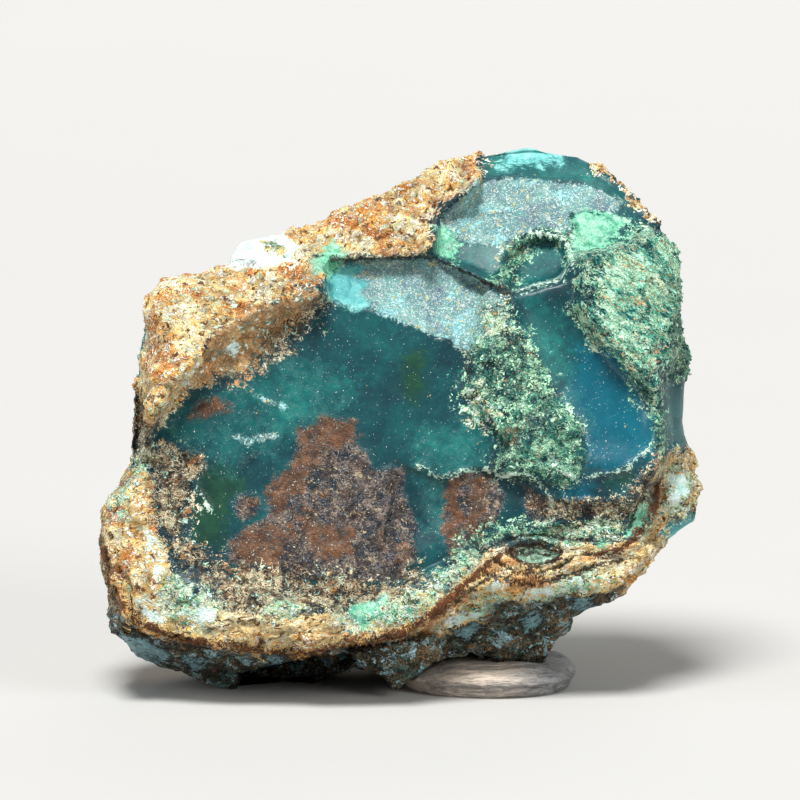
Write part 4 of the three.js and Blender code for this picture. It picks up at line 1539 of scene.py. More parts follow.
class Graph:
    """Adds and joins the nodes of one tree."""

    def __init__(self, tree: Tree) -> None:
        """Take the tree to work on."""
        self.tree = tree

    def add(self, kind: str, given: Given = (), **settings: object) -> Node:
        """A new node.

        Args:
            kind: Its type.
            given: What its inputs are given, in order or by number or name.
            settings: Its settings.

        Returns:
            The node.
        """
        node = self.tree.nodes.new(kind)
        for name, value in settings.items():
            setattr(node, name, value)
        for key, value in given.items() if isinstance(given, dict) else enumerate(given):
            self.give(node.inputs[key], value)
        return node

    def give(self, socket: Socket, value: Value) -> None:
        """Join an input to another node, or set its value.

        Args:
            socket: The input.
            value: The other node's output, or the value.
        """
        if isinstance(value, Socket):
            self.tree.links.new(value, socket)
        else:
            socket.default_value = value

    def math(self, operation: str, a: Value, b: Value = 0.0, third: Value = 0.0) -> Socket:
        """A sum of two or three values."""
        return self.add("ShaderNodeMath", (a, b, third), operation=operation).outputs[0]

    def stretch(self, value: Value, low: float, high: float) -> Socket:
        """A value of low to high spread evenly over 0 to 1, and kept there."""
        return self.add("ShaderNodeMapRange", (value, low, high, 0.0, 1.0), clamp=True).outputs[0]

    def ease(self, value: Value, low: Value, high: Value, first: float = 0, last: float = 1) -> Socket:
        """A number eased from first to last while the value goes from low to high. The easing
        ends there by itself, and a clamp would take room that Cycles lacks in the stone's material."""
        settings = {"interpolation_type": "SMOOTHSTEP", "clamp": False}
        return self.add("ShaderNodeMapRange", (value, low, high, first, last), **settings).outputs[0]

    def scaled(self, place: Value, scale: Value) -> Socket:
        """A place scaled by a number or along each axis."""
        kind, key = ("MULTIPLY", 1) if isinstance(scale, tuple) else ("SCALE", "Scale")
        return self.add("ShaderNodeVectorMath", {key: scale, 0: place}, operation=kind).outputs[0]

    def stone_place(self) -> Socket:
        """The place on the piece, in stone units."""
        return self.scaled(self.add("ShaderNodeTexCoord").outputs["Object"], 1 / UNIT)

    def blend(self, share: Value, a: Value, b: Value, kind: str = "MIX") -> Socket:
        """A colour between two colours."""
        settings = {"data_type": "RGBA", "blend_type": kind}
        return self.add("ShaderNodeMix", {0: share, 6: a, 7: b}, **settings).outputs[2]

    def between(self, share: Value, a: Value, b: Value) -> Socket:
        """A number between two numbers."""
        return self.add("ShaderNodeMix", {0: share, 2: a, 3: b}, data_type="FLOAT").outputs[0]

    def noise(
        self, place: Value, scale: Value, detail: float = 3.0, rough: float = 0.55, warp: float = 0.0,
    ) -> Socket:
        """Fractal noise of about 0 to 1."""
        given = {"Vector": place, "Scale": scale, "Detail": detail, "Roughness": rough, "Distortion": warp}
        return self.add("ShaderNodeTexNoise", given).outputs[0]

    def grey(self, value: Value) -> Socket:
        """A grey of that brightness."""
        return self.add("ShaderNodeCombineXYZ", (value, value, value)).outputs[0]

    def attribute(self, name: str) -> Socket:
        """A number stored on the mesh."""
        return self.add("ShaderNodeAttribute", attribute_name=name).outputs["Fac"]

    def ramp(self, value: Value, colours: Sequence[Rgb]) -> Socket:
        """A colour picked from an even row of them.

        Args:
            value: Where in the row, from 0 to 1.
            colours: The row.

        Returns:
            The colour.
        """
        node = self.add("ShaderNodeValToRGB", (value,))
        band = node.color_ramp
        while len(band.elements) < len(colours):
            band.elements.new(0.5)
        for number, (element, colour) in enumerate(zip(band.elements, colours)):
            element.position = number / (len(colours) - 1)
            element.color = linear(colour)
        return node.outputs[0]

    def bump(self, strength: float, distance: float) -> Node:
        """A bump of that strength, with its distance in stone units."""
        return self.add("ShaderNodeBump", {"Strength": strength, "Distance": distance * UNIT})

    def group(self, kind: Tree, **values: Value) -> Node:
        """A shared effect with its own values."""
        return self.add("ShaderNodeGroup", values, node_tree=kind)


Sockets = bpy.types.bpy_prop_collection


def new_group(name: str, inputs: dict[str, str], outputs: Sequence[str]) -> tuple[Graph, Sockets, Sockets]:
    """An empty shared effect.

    Args:
        name: Name of the effect.
        inputs: Its inputs' names with their socket types.
        outputs: The names of the numbers that it gives.

    Returns:
        The graph to fill in, what it is given and what it gives.
    """
    tree = bpy.data.node_groups.new(name, "ShaderNodeTree")
    given = dict.fromkeys(outputs, "Float")
    for direction, sockets in (("INPUT", inputs), ("OUTPUT", given)):
        for socket, kind in sockets.items():
            tree.interface.new_socket(socket, in_out=direction, socket_type=f"NodeSocket{kind}")
    graph = Graph(tree)
    return graph, graph.add("NodeGroupInput").outputs, graph.add("NodeGroupOutput").inputs


def new_material(name: str) -> tuple[Material, Graph, Sockets]:
    """An empty material.

    Args:
        name: Name of the material.

    Returns:
        The material, its graph and its shader's inputs.
    """
    material = bpy.data.materials.new(name)
    material.use_nodes = True
    return material, Graph(material.node_tree), material.node_tree.nodes["Principled BSDF"].inputs


class Layer(Enum):
    """An unevenness of the stone's surface. The value is its name on the shared effect."""

    BROAD = "Broad"
    MIDDLE = "Middle"
    FINE = "Fine"
    GRAIN = "Grain"
    PATCHY = "Patchy"
    CLUMPS = "Clumps"
    CHIPS = "Chips"
    CURLS = "Curls"


LAYERS = {  # scale, detail, roughness, distortion, half of the range that is spread
    Layer.BROAD: (0.13, 3.0, 0.5, 0.4, 0.17),
    Layer.MIDDLE: (0.45, 4.0, 0.62, 0.5, 0.17),
    Layer.FINE: (1.5, 3.0, 0.65, 0.6, 0.15),
    Layer.GRAIN: (2.0, 1.5, 0.6, 1.0, 0.13),
    Layer.PATCHY: (0.27, 3.0, 0.6, 0.8, 0.17),
    Layer.CLUMPS: (0.75, 3.0, 0.62, 0.8, 0.17),
    Layer.CHIPS: (1.64, 1.5, 0.6, 0.6, 0.17),
}
CURL_NOISE = (1.35, 1.5, 0.6, 2.2)
CURL_WIDTHS = (0.075, 0.03)
CURL_GAPS = (0.42, 0.56)
SPOT_SOFTNESS = 0.06
LINE_OVERLAP = 0.35


class Effects:
    """The shared effects, each built once."""

    def __init__(self) -> None:
        """Build them."""
        self.grain = self.build_grain()
        self.patch = self.build_patch()
        self.spots = self.build_spots()
        self.line = self.build_line()
        self.specks = self.build_specks()

    @staticmethod
    def build_grain() -> Tree:
        """Unevennesses of several sizes, each spread over 0 to 1, and thin broken curls.

        Returns:
            The effect.
        """
        graph, given, out = new_group(
            "layered_grain", {"Place": "Vector", "Size": "Float"}, [layer.value for layer in Layer],
        )
        # All layers share one place, which keeps the stone's material small enough for Cycles.
        place = graph.scaled(given["Place"], graph.math("DIVIDE", 1.0, given["Size"]))
        for layer, (scale, detail, rough, warp, half) in LAYERS.items():
            value = graph.noise(place, scale, detail, rough, warp)
            low, high = 0.5 - half, 0.5 + half
            if layer is Layer.GRAIN:  # blobs, parted by creases
                value = graph.math("ABSOLUTE", graph.math("SUBTRACT", value, 0.5))
                low, high = 0.0, half
            graph.give(out[layer.value], graph.stretch(value, low, high))
        line = graph.noise(place, *CURL_NOISE)
        near = graph.math("ABSOLUTE", graph.math("SUBTRACT", line, 0.5))
        curl = graph.ease(near, *CURL_WIDTHS)
        broken = graph.ease(graph.noise(place, 0.9, 2.0), *CURL_GAPS)
        graph.give(out[Layer.CURLS.value], graph.math("MULTIPLY", curl, broken))
        return graph.tree

    @staticmethod
    def build_patch() -> Tree:
        """A mark's cover: its distance made ragged by unevenness and cut at its border.

        Returns:
            The effect.
        """
        names = ("Distance", "Middle", "Fine", "Grain", "Ragged", "Dither", "Soft")
        graph, given, out = new_group("ragged_patch", dict.fromkeys(names, "Float"), ["Cover"])
        waves = graph.math("SUBTRACT", graph.math("ADD", given["Middle"], given["Fine"]), 1.0)
        moved = graph.math("MULTIPLY_ADD", waves, given["Ragged"], third=given["Distance"])
        speckled = graph.math("SUBTRACT", given["Grain"], 0.5)
        moved = graph.math("MULTIPLY_ADD", speckled, given["Dither"], third=moved)
        low = graph.math("MULTIPLY", given["Soft"], -1.0)
        graph.give(out["Cover"], graph.ease(moved, low, given["Soft"]))
        return graph.tree

    @staticmethod
    def build_spots() -> Tree:
        """Spots where an unevenness passes a limit, with a ragged border.

        Returns:
            The effect.
        """
        names = ("Field", "Grain", "Limit", "Ragged")
        graph, given, out = new_group("ragged_spots", dict.fromkeys(names, "Float"), ["Spots"])
        speckled = graph.math("SUBTRACT", given["Grain"], 0.5)
        moved = graph.math("MULTIPLY_ADD", speckled, given["Ragged"], third=given["Field"])
        low = graph.math("SUBTRACT", given["Limit"], SPOT_SOFTNESS)
        high = graph.math("ADD", given["Limit"], SPOT_SOFTNESS)
        graph.give(out["Spots"], graph.ease(moved, low, high))
        return graph.tree

    @staticmethod
    def build_line() -> Tree:
        """Distance into a thin line from its near side and its reach, wavering a little.

        Returns:
            The effect.
        """
        names = ("Side", "Reach", "Fine", "Width", "Waver")
        graph, given, out = new_group("wavering_line", dict.fromkeys(names, "Float"), ["Distance"])
        waver = graph.math("SUBTRACT", given["Fine"], 0.5)
        side = graph.math("MULTIPLY_ADD", waver, given["Waver"], third=given["Side"])
        inside = graph.math("SUBTRACT", given["Width"], graph.math("ABSOLUTE", side))
        reach = graph.math("ADD", given["Reach"], LINE_OVERLAP)
        graph.give(out["Distance"], graph.math("MINIMUM", inside, reach))
        return graph.tree

    @staticmethod
    def build_specks() -> Tree:
        """Scattered specks: small round spots in some cells of cellular noise.

        Returns:
            The effect.
        """
        graph, given, out = new_group(
            "scattered_specks",
            {"Place": "Vector", "Scale": "Float", "Radius": "Float", "Amount": "Float"}, ["Specks"],
        )
        bent = graph.add("ShaderNodeTexNoise", {"Vector": given["Place"], "Scale": 3.0, "Detail": 0.0})
        moved = graph.add("ShaderNodeVectorMath", (given["Place"],), operation="ADD")
        graph.give(moved.inputs[1], graph.scaled(bent.outputs["Color"], 0.3))
        cells = graph.add("ShaderNodeTexVoronoi", {"Vector": moved.outputs[0], "Scale": given["Scale"]})
        chances = graph.add("ShaderNodeSeparateColor", (cells.outputs["Color"],))
        some = graph.math("LESS_THAN", chances.outputs[0], given["Amount"])
        radius = graph.math("MULTIPLY", given["Radius"], graph.math("ADD", chances.outputs[2], 0.45))
        near = graph.ease(cells.outputs["Distance"], radius, graph.math("MULTIPLY", radius, 0.6))
        bright = graph.math("MULTIPLY_ADD", chances.outputs[1], 0.8, third=0.15)
        varied = graph.math("MULTIPLY", near, bright)
        graph.give(out["Specks"], graph.math("MULTIPLY", some, varied))
        return graph.tree


@dataclass(frozen=True)
class Ground:
    """What a finish is painted on: its graph, the shared effects, the place in stone units and
    the node with the unevennesses."""

    graph: Graph
    effects: Effects
    place: Socket
    grain: Node


@dataclass(frozen=True)
class Palette:
    """Tones from dark to light, and how strongly each unevenness picks among them."""

    tones: tuple[Rgb, ...]
    broad: float = 0.0
    middle: float = 0.4
    fine: float = 0.3
    grain: float = 0.4
    bias: float = 0.0

    def paint(self, ground: Ground) -> Socket:
        """The colour that the palette gives.

        Args:
            ground: What it is painted on.

        Returns:
            The colour.
        """
        weights = {"Broad": self.broad, "Middle": self.middle, "Fine": self.fine, "Grain": self.grain}
        weights = {name: weight for name, weight in weights.items() if weight}
        total: Value = 0.5 + self.bias - 0.5 * sum(weights.values())
        for name, weight in weights.items():
            total = ground.graph.math("MULTIPLY_ADD", ground.grain.outputs[name], weight, third=total)
        return ground.graph.ramp(total, self.tones)


@dataclass(frozen=True)
class Accent:
    """Spots of other colours where one unevenness is high, or low."""

    layer: Layer
    limit: float
    dark: Rgb
    light: Rgb
    low: bool = False
    ragged: float = 0.25

    def paint(self, ground: Ground, under: Value) -> Socket:
        """The colour under the spots with the spots on it.

        Args:
            ground: What they are painted on.
            under: The colour under the spots.

        Returns:
            The colour.
        """
        graph, grainy = ground.graph, ground.grain.outputs["Grain"]
        value = ground.grain.outputs[self.layer.value]
        if self.low:
            value = graph.math("SUBTRACT", 1.0, value)
        values = {"Field": value, "Grain": grainy, "Limit": self.limit, "Ragged": self.ragged}
        spots = graph.group(ground.effects.spots, **values).outputs["Spots"]
        return graph.blend(spots, under, graph.blend(grainy, linear(self.dark), linear(self.light)))


@dataclass(frozen=True)
class Patch:
    """How a mark looks: its tones, its border and its surface. Where it reaches no deeper than
    its border's raggedness, holes are left in it."""

    mark: Mark
    palette: Palette
    ragged: float = 0.6
    dither: float = 0.5
    soft: float = 0.2
    roughness: float = 0.85
    gloss: float = 0.0
    strength: float = 1.0
    deepest: float = 3.0
    accents: tuple[Accent, ...] = ()
    curl: Rgb = (220, 236, 214)
    curls: float = 0.0
    speck_and_glint_amount: float = 0.1
    # How many white specks: partly real white grains, partly painted glints of sparkling crystals.
    spread: float = 0.0
    turn: float = 0.0


OPAL = Palette(
    ((2, 34, 44), (4, 52, 60), (6, 68, 74), (10, 86, 88), (30, 112, 106)),
    broad=0.5, middle=0.25, fine=0.12, grain=0.08,
)
PATCHES = (
    Patch(Mark.JADE, Palette(
        ((4, 60, 62), (6, 80, 82), (10, 98, 96), (24, 126, 116), (60, 166, 142)),
        broad=0.3, middle=0.35, fine=0.15, grain=0.08, bias=-0.08,
    ), ragged=1.0, dither=0.4, soft=1.3, roughness=0.46, gloss=0.1, strength=0.85),
    Patch(Mark.GREEN, Palette(
        ((14, 44, 38), (24, 62, 46), (36, 80, 52), (60, 100, 64)),
        broad=0.3, middle=0.3, fine=0.15, grain=0.08,
    ), ragged=0.9, dither=0.3, soft=0.9, roughness=0.32, gloss=0.4, strength=0.85),
    Patch(Mark.DEEP, Palette(
        ((2, 64, 86), (4, 86, 106), (8, 102, 120), (22, 120, 130)),
        broad=0.3, middle=0.3, fine=0.1, grain=0.08,
    ), ragged=0.8, dither=0.2, soft=1.1, roughness=0.34, gloss=0.3, speck_and_glint_amount=0.2),
    Patch(Mark.VEIL, Palette(
        ((2, 66, 70), (4, 84, 86), (10, 102, 100), (28, 122, 114), (74, 150, 136)),
        broad=0.35, fine=0.1, grain=0.05, bias=-0.12,
    ), ragged=1.2, dither=0.2, soft=1.6, roughness=0.4, gloss=0.25, strength=0.8, curl=(110, 156, 146),
        curls=0.12, speck_and_glint_amount=0.16,
    ),
    Patch(Mark.AQUA, Palette(
        ((44, 120, 128), (76, 162, 164), (112, 196, 192), (162, 230, 222)),
        broad=0.35, middle=0.5, fine=0.25, grain=0.1,
    ), ragged=0.9, dither=0.4, soft=0.6, roughness=0.6, speck_and_glint_amount=0.3),
    Patch(Mark.FROST, Palette(
        ((70, 112, 120), (90, 136, 138), (108, 156, 154), (130, 178, 172), (172, 210, 202)),
        broad=0.35, middle=0.35, fine=0.2, grain=0.1,
    ), ragged=0.3, dither=0.3, roughness=0.6, speck_and_glint_amount=1.0,
        accents=(
            Accent(Layer.PATCHY, 0.78, (74, 100, 118), (106, 134, 146), low=True, ragged=0.5),
            Accent(Layer.PATCHY, 0.8, (104, 172, 182), (148, 210, 212), ragged=0.4),
            Accent(Layer.CLUMPS, 0.9, (124, 146, 146), (176, 194, 190), ragged=0.5),
            Accent(Layer.CHIPS, 0.95, (150, 152, 104), (196, 192, 136), ragged=0.1),
        ),
    ),
    Patch(Mark.BROWN, Palette(
        ((30, 26, 28), (52, 44, 42), (76, 65, 58), (100, 86, 78), (150, 134, 124)),
        middle=0.5, fine=0.5, grain=-0.4, bias=-0.03,
    ), ragged=0.35, dither=0.3, roughness=0.6, gloss=0.1, curl=(170, 156, 144), curls=0.5, speck_and_glint_amount=0.3,
        accents=(
            Accent(Layer.PATCHY, 0.76, (88, 56, 36), (124, 82, 52), ragged=0.2),
            Accent(Layer.CLUMPS, 0.62, (14, 26, 38), (44, 58, 70), low=True, ragged=0.35),
            Accent(Layer.CHIPS, 0.95, (130, 108, 80), (176, 158, 124)),
        ),
    ),
    Patch(Mark.RUST, Palette(
        ((44, 28, 18), (68, 44, 28), (92, 58, 34), (118, 76, 44), (152, 108, 70)),
        middle=0.5, grain=-0.1,
    ), ragged=0.7, dither=0.4, soft=0.4, roughness=0.46, gloss=0.2, strength=0.92, curl=(164, 144, 122),
        curls=0.15, speck_and_glint_amount=0.25,
        accents=(
            Accent(Layer.CLUMPS, 0.8, (48, 42, 42), (82, 72, 66), low=True),
        ),
    ),
    Patch(Mark.TAN, Palette(
        ((88, 68, 46), (128, 98, 64), (166, 128, 84), (200, 158, 106), (230, 194, 142)),
        middle=0.5, fine=0.4, grain=0.25, bias=0.16,
    ), ragged=1.0, dither=0.7, soft=0.5, roughness=0.75, curl=(224, 194, 148), curls=0.4, speck_and_glint_amount=0.15,
        accents=(
            Accent(Layer.CLUMPS, 0.8, (50, 100, 98), (96, 142, 128), ragged=0.5),
            Accent(Layer.PATCHY, 0.7, (190, 126, 76), (234, 172, 116), ragged=0.3),
            Accent(Layer.CHIPS, 0.94, (176, 214, 196), (228, 246, 230)),
        ),
    ),
    Patch(Mark.DRUSE, Palette(
        ((6, 42, 44), (12, 64, 62), (24, 92, 82), (50, 130, 108), (104, 188, 150), (204, 250, 208)),
        broad=0.2, fine=0.55, grain=-0.55, bias=-0.09,
    ), ragged=1.3, dither=1.2, soft=0.15, roughness=0.5, gloss=0.1, deepest=0.9, curl=(190, 238, 198),
        curls=0.65, speck_and_glint_amount=0.15,
        accents=(
            Accent(Layer.PATCHY, 0.9, (96, 78, 58), (156, 128, 94), ragged=0.5),
            Accent(Layer.CLUMPS, 0.78, (10, 62, 66), (24, 98, 96), low=True),
            Accent(Layer.CLUMPS, 0.84, (128, 208, 164), (206, 248, 210), ragged=0.5),
        ),
    ),
    Patch(Mark.RIND, Palette(
        (
            (132, 88, 46), (196, 136, 68), (238, 180, 96), (250, 212, 128), (255, 240, 178),
            (255, 254, 232),
        ),
        middle=0.55, fine=0.5, grain=0.45, bias=0.19,
    ), ragged=0.7, dither=0.6, soft=0.12, roughness=0.8, curl=(255, 248, 206), curls=0.4, speck_and_glint_amount=0.2,
        accents=(
            Accent(Layer.PATCHY, 0.64, (176, 104, 48), (238, 160, 80), low=True, ragged=0.4),
            Accent(Layer.PATCHY, 0.92, (140, 126, 112), (196, 176, 150), ragged=0.5),
            Accent(Layer.CLUMPS, 0.78, (252, 240, 196), (255, 255, 248), ragged=0.5),
            Accent(Layer.CHIPS, 0.94, (160, 216, 176), (214, 246, 220)),
            Accent(Layer.CHIPS, 0.84, (76, 48, 26), (132, 88, 48), low=True),
        ),
    ),
    Patch(Mark.GRIT, Palette(
        ((26, 22, 22), (50, 41, 37), (80, 66, 54), (124, 102, 78), (190, 166, 126), (252, 238, 200)),
        broad=0.1, fine=0.45, grain=-0.55, bias=-0.05,
    ), ragged=1.4, dither=1.4, soft=0.3, roughness=0.75, deepest=1.2, curl=(250, 236, 196), curls=0.95,
        speck_and_glint_amount=0.25,
        accents=(
            Accent(Layer.PATCHY, 0.76, (34, 50, 56), (66, 84, 88), low=True, ragged=0.5),
            Accent(Layer.CLUMPS, 0.88, (120, 78, 44), (190, 138, 84), ragged=0.4),
            Accent(Layer.CHIPS, 0.93, (124, 186, 160), (200, 240, 216)),
        ),
    ),
    Patch(Mark.LEDGE, Palette(
        ((150, 98, 52), (214, 158, 94), (248, 206, 138), (255, 232, 172), (255, 250, 218)),
        middle=0.5, fine=0.45, grain=0.3, bias=0.27,
    ), ragged=0.7, dither=0.6, roughness=0.8, curl=(130, 84, 46), curls=0.4, turn=14,
        accents=(
            Accent(Layer.PATCHY, 0.82, (200, 138, 80), (236, 182, 120), low=True),
            Accent(Layer.CHIPS, 0.88, (60, 42, 26), (112, 80, 48), low=True),
        ),
    ),
    Patch(Mark.MINT, Palette(
        ((48, 138, 114), (84, 176, 142), (122, 208, 168), (168, 234, 198), (230, 250, 232)),
        middle=0.5, fine=0.4, grain=0.2, bias=-0.04,
    ), ragged=0.7, soft=0.35, roughness=0.55, gloss=0.1, curl=(236, 252, 236), curls=0.3, speck_and_glint_amount=0.3),
    Patch(Mark.CHALK, Palette(
        ((40, 92, 78), (80, 144, 114), (128, 196, 152), (184, 236, 188), (240, 254, 220)),
        middle=0.45, fine=0.5, grain=-0.5, bias=0.03,
    ), ragged=1.4, dither=1.4, roughness=0.75, deepest=1.0, curl=(244, 252, 226), curls=0.9, speck_and_glint_amount=0.25,
        accents=(
            Accent(Layer.PATCHY, 0.78, (206, 196, 128), (250, 242, 186), ragged=0.6),
            Accent(Layer.CLUMPS, 0.72, (40, 58, 48), (84, 96, 70), low=True, ragged=0.5),
            Accent(Layer.CLUMPS, 0.84, (26, 112, 108), (60, 152, 142)),
            Accent(Layer.CHIPS, 0.95, (150, 116, 74), (206, 170, 116)),
            Accent(Layer.CHIPS, 0.9, (150, 214, 216), (222, 246, 246), low=True),
        ),
    ),
    Patch(Mark.SLOPE, Palette(
        ((8, 64, 66), (14, 94, 90), (34, 134, 116), (78, 180, 150), (150, 224, 190), (232, 252, 222)),
        middle=0.5, fine=0.55, grain=-0.45, bias=0.04,
    ), ragged=1.3, dither=1.2, roughness=0.6, gloss=0.1, deepest=1.1, curl=(214, 240, 196), curls=0.8,
        speck_and_glint_amount=0.25, turn=-38,
        accents=(
            Accent(Layer.PATCHY, 0.84, (150, 156, 104), (226, 218, 160), ragged=0.7),
            Accent(Layer.CLUMPS, 0.66, (4, 54, 62), (16, 92, 94), low=True, ragged=0.5),
            Accent(Layer.CLUMPS, 0.82, (120, 204, 170), (200, 246, 216), ragged=0.5),
            Accent(Layer.CHIPS, 0.95, (150, 98, 56), (216, 164, 106)),
        ),
    ),
    Patch(Mark.WHITE, Palette(
        ((140, 206, 196), (190, 234, 224), (228, 250, 244), (250, 255, 250)),
        middle=0.45, fine=0.4, grain=0.2, bias=0.04,
    ), ragged=0.55, dither=0.4, soft=0.12, roughness=0.5, gloss=0.1),
    Patch(Mark.NODULE, Palette(
        ((150, 214, 196), (206, 238, 226), (240, 252, 246), (254, 255, 252)),
        middle=0.5, fine=0.25, grain=0.1, bias=0.08,
    ), ragged=0.25, dither=0.2, soft=0.15, roughness=0.4, gloss=0.2, speck_and_glint_amount=0.0),
    Patch(Mark.LENS, Palette(
        ((30, 22, 14), (58, 42, 26), (92, 68, 42)),
        middle=0.3, fine=0.4, grain=0.2,
    ), ragged=0.15, dither=0.1, soft=0.08, roughness=0.8, spread=0.28),
    Patch(Mark.LENS, Palette(
        ((76, 112, 96), (122, 158, 134), (176, 206, 180), (232, 246, 228)),
        middle=0.3, fine=0.4, grain=0.2,
    ), ragged=0.1, dither=0.1, soft=0.08, roughness=0.5, gloss=0.1),
    Patch(Mark.UNDER, Palette(
        ((32, 34, 26), (60, 56, 40), (92, 80, 54), (122, 104, 70), (154, 142, 108)),
        broad=0.1, middle=0.55, fine=0.55, grain=0.35, bias=-0.05,
    ), dither=0.6, soft=0.3, roughness=0.8, curl=(170, 170, 140), curls=0.4,
        accents=(
            Accent(Layer.PATCHY, 0.68, (34, 74, 76), (70, 118, 118), ragged=0.5),
            Accent(Layer.CHIPS, 0.82, (130, 84, 44), (190, 134, 76)),
            Accent(Layer.CLUMPS, 0.78, (16, 20, 18), (36, 38, 30), low=True, ragged=0.5),
            Accent(Layer.CLUMPS, 0.76, (100, 148, 156), (182, 220, 228), ragged=0.3),
        ),
    ),
    Patch(Mark.SLATE, Palette(
        ((30, 34, 30), (52, 56, 48)),
        middle=0.3, fine=0.4,
    ), ragged=0.5, dither=0.3, soft=0.1, roughness=0.8, spread=0.35),
    Patch(Mark.SLATE, Palette(
        ((70, 104, 112), (94, 132, 140), (118, 158, 164), (168, 198, 200)),
        fine=0.4, grain=0.2,
    ), ragged=0.5, dither=0.4, soft=0.1, roughness=0.55, gloss=0.1,
        accents=(
            Accent(Layer.CHIPS, 0.86, (40, 44, 40), (84, 84, 72), low=True),
        ),
    ),
    Patch(Mark.SEAM, Palette(
        ((34, 20, 12), (62, 36, 18), (96, 56, 28), (134, 82, 42), (190, 132, 76)),
        middle=0.5, fine=0.5, grain=0.3, bias=-0.12,
    ), ragged=0.5, dither=0.4, roughness=0.75, deepest=0.35),
    Patch(Mark.VEIN, Palette(
        ((120, 180, 156), (176, 218, 194), (230, 246, 226), (252, 252, 244)),
        middle=0.3, grain=-0.4,
    ), ragged=0.26, dither=0.26, soft=0.08, roughness=0.6, strength=0.9),
    # Dark cracks, and the painted shadow line under the slab's lower lip.
    Patch(Mark.CRACK, Palette(
        ((20, 15, 12), (40, 28, 20), (66, 46, 30)),
        middle=0.3, fine=0.4, grain=0.2,
    ), ragged=0.14, dither=0.1, soft=0.07, roughness=0.9, strength=0.9),
)
LINE_WIDTHS = {Mark.VEIN: 0.1, Mark.CRACK: 0.15}
LINE_WAVER = 0.5


@dataclass(frozen=True)
class Specks:
    """Specks of one colour: how close they stand, their radius and how many there are."""

    colour: Rgb
    scale: float
    radius: float
    amount: float

    def paint(self, ground: Ground, under: Value, **own: Value) -> Socket:
        """The colour under the specks with the specks on it.

        Args:
            ground: What they are painted on.
            under: The colour under the specks.
            own: A radius or an amount that changes over the surface.

        Returns:
            The colour.
        """
        values = {"Scale": self.scale, "Radius": self.radius, "Amount": self.amount} | own
        specks = ground.graph.group(ground.effects.specks, Place=ground.place, **values)
        return ground.graph.blend(specks.outputs["Specks"], under, linear(self.colour))


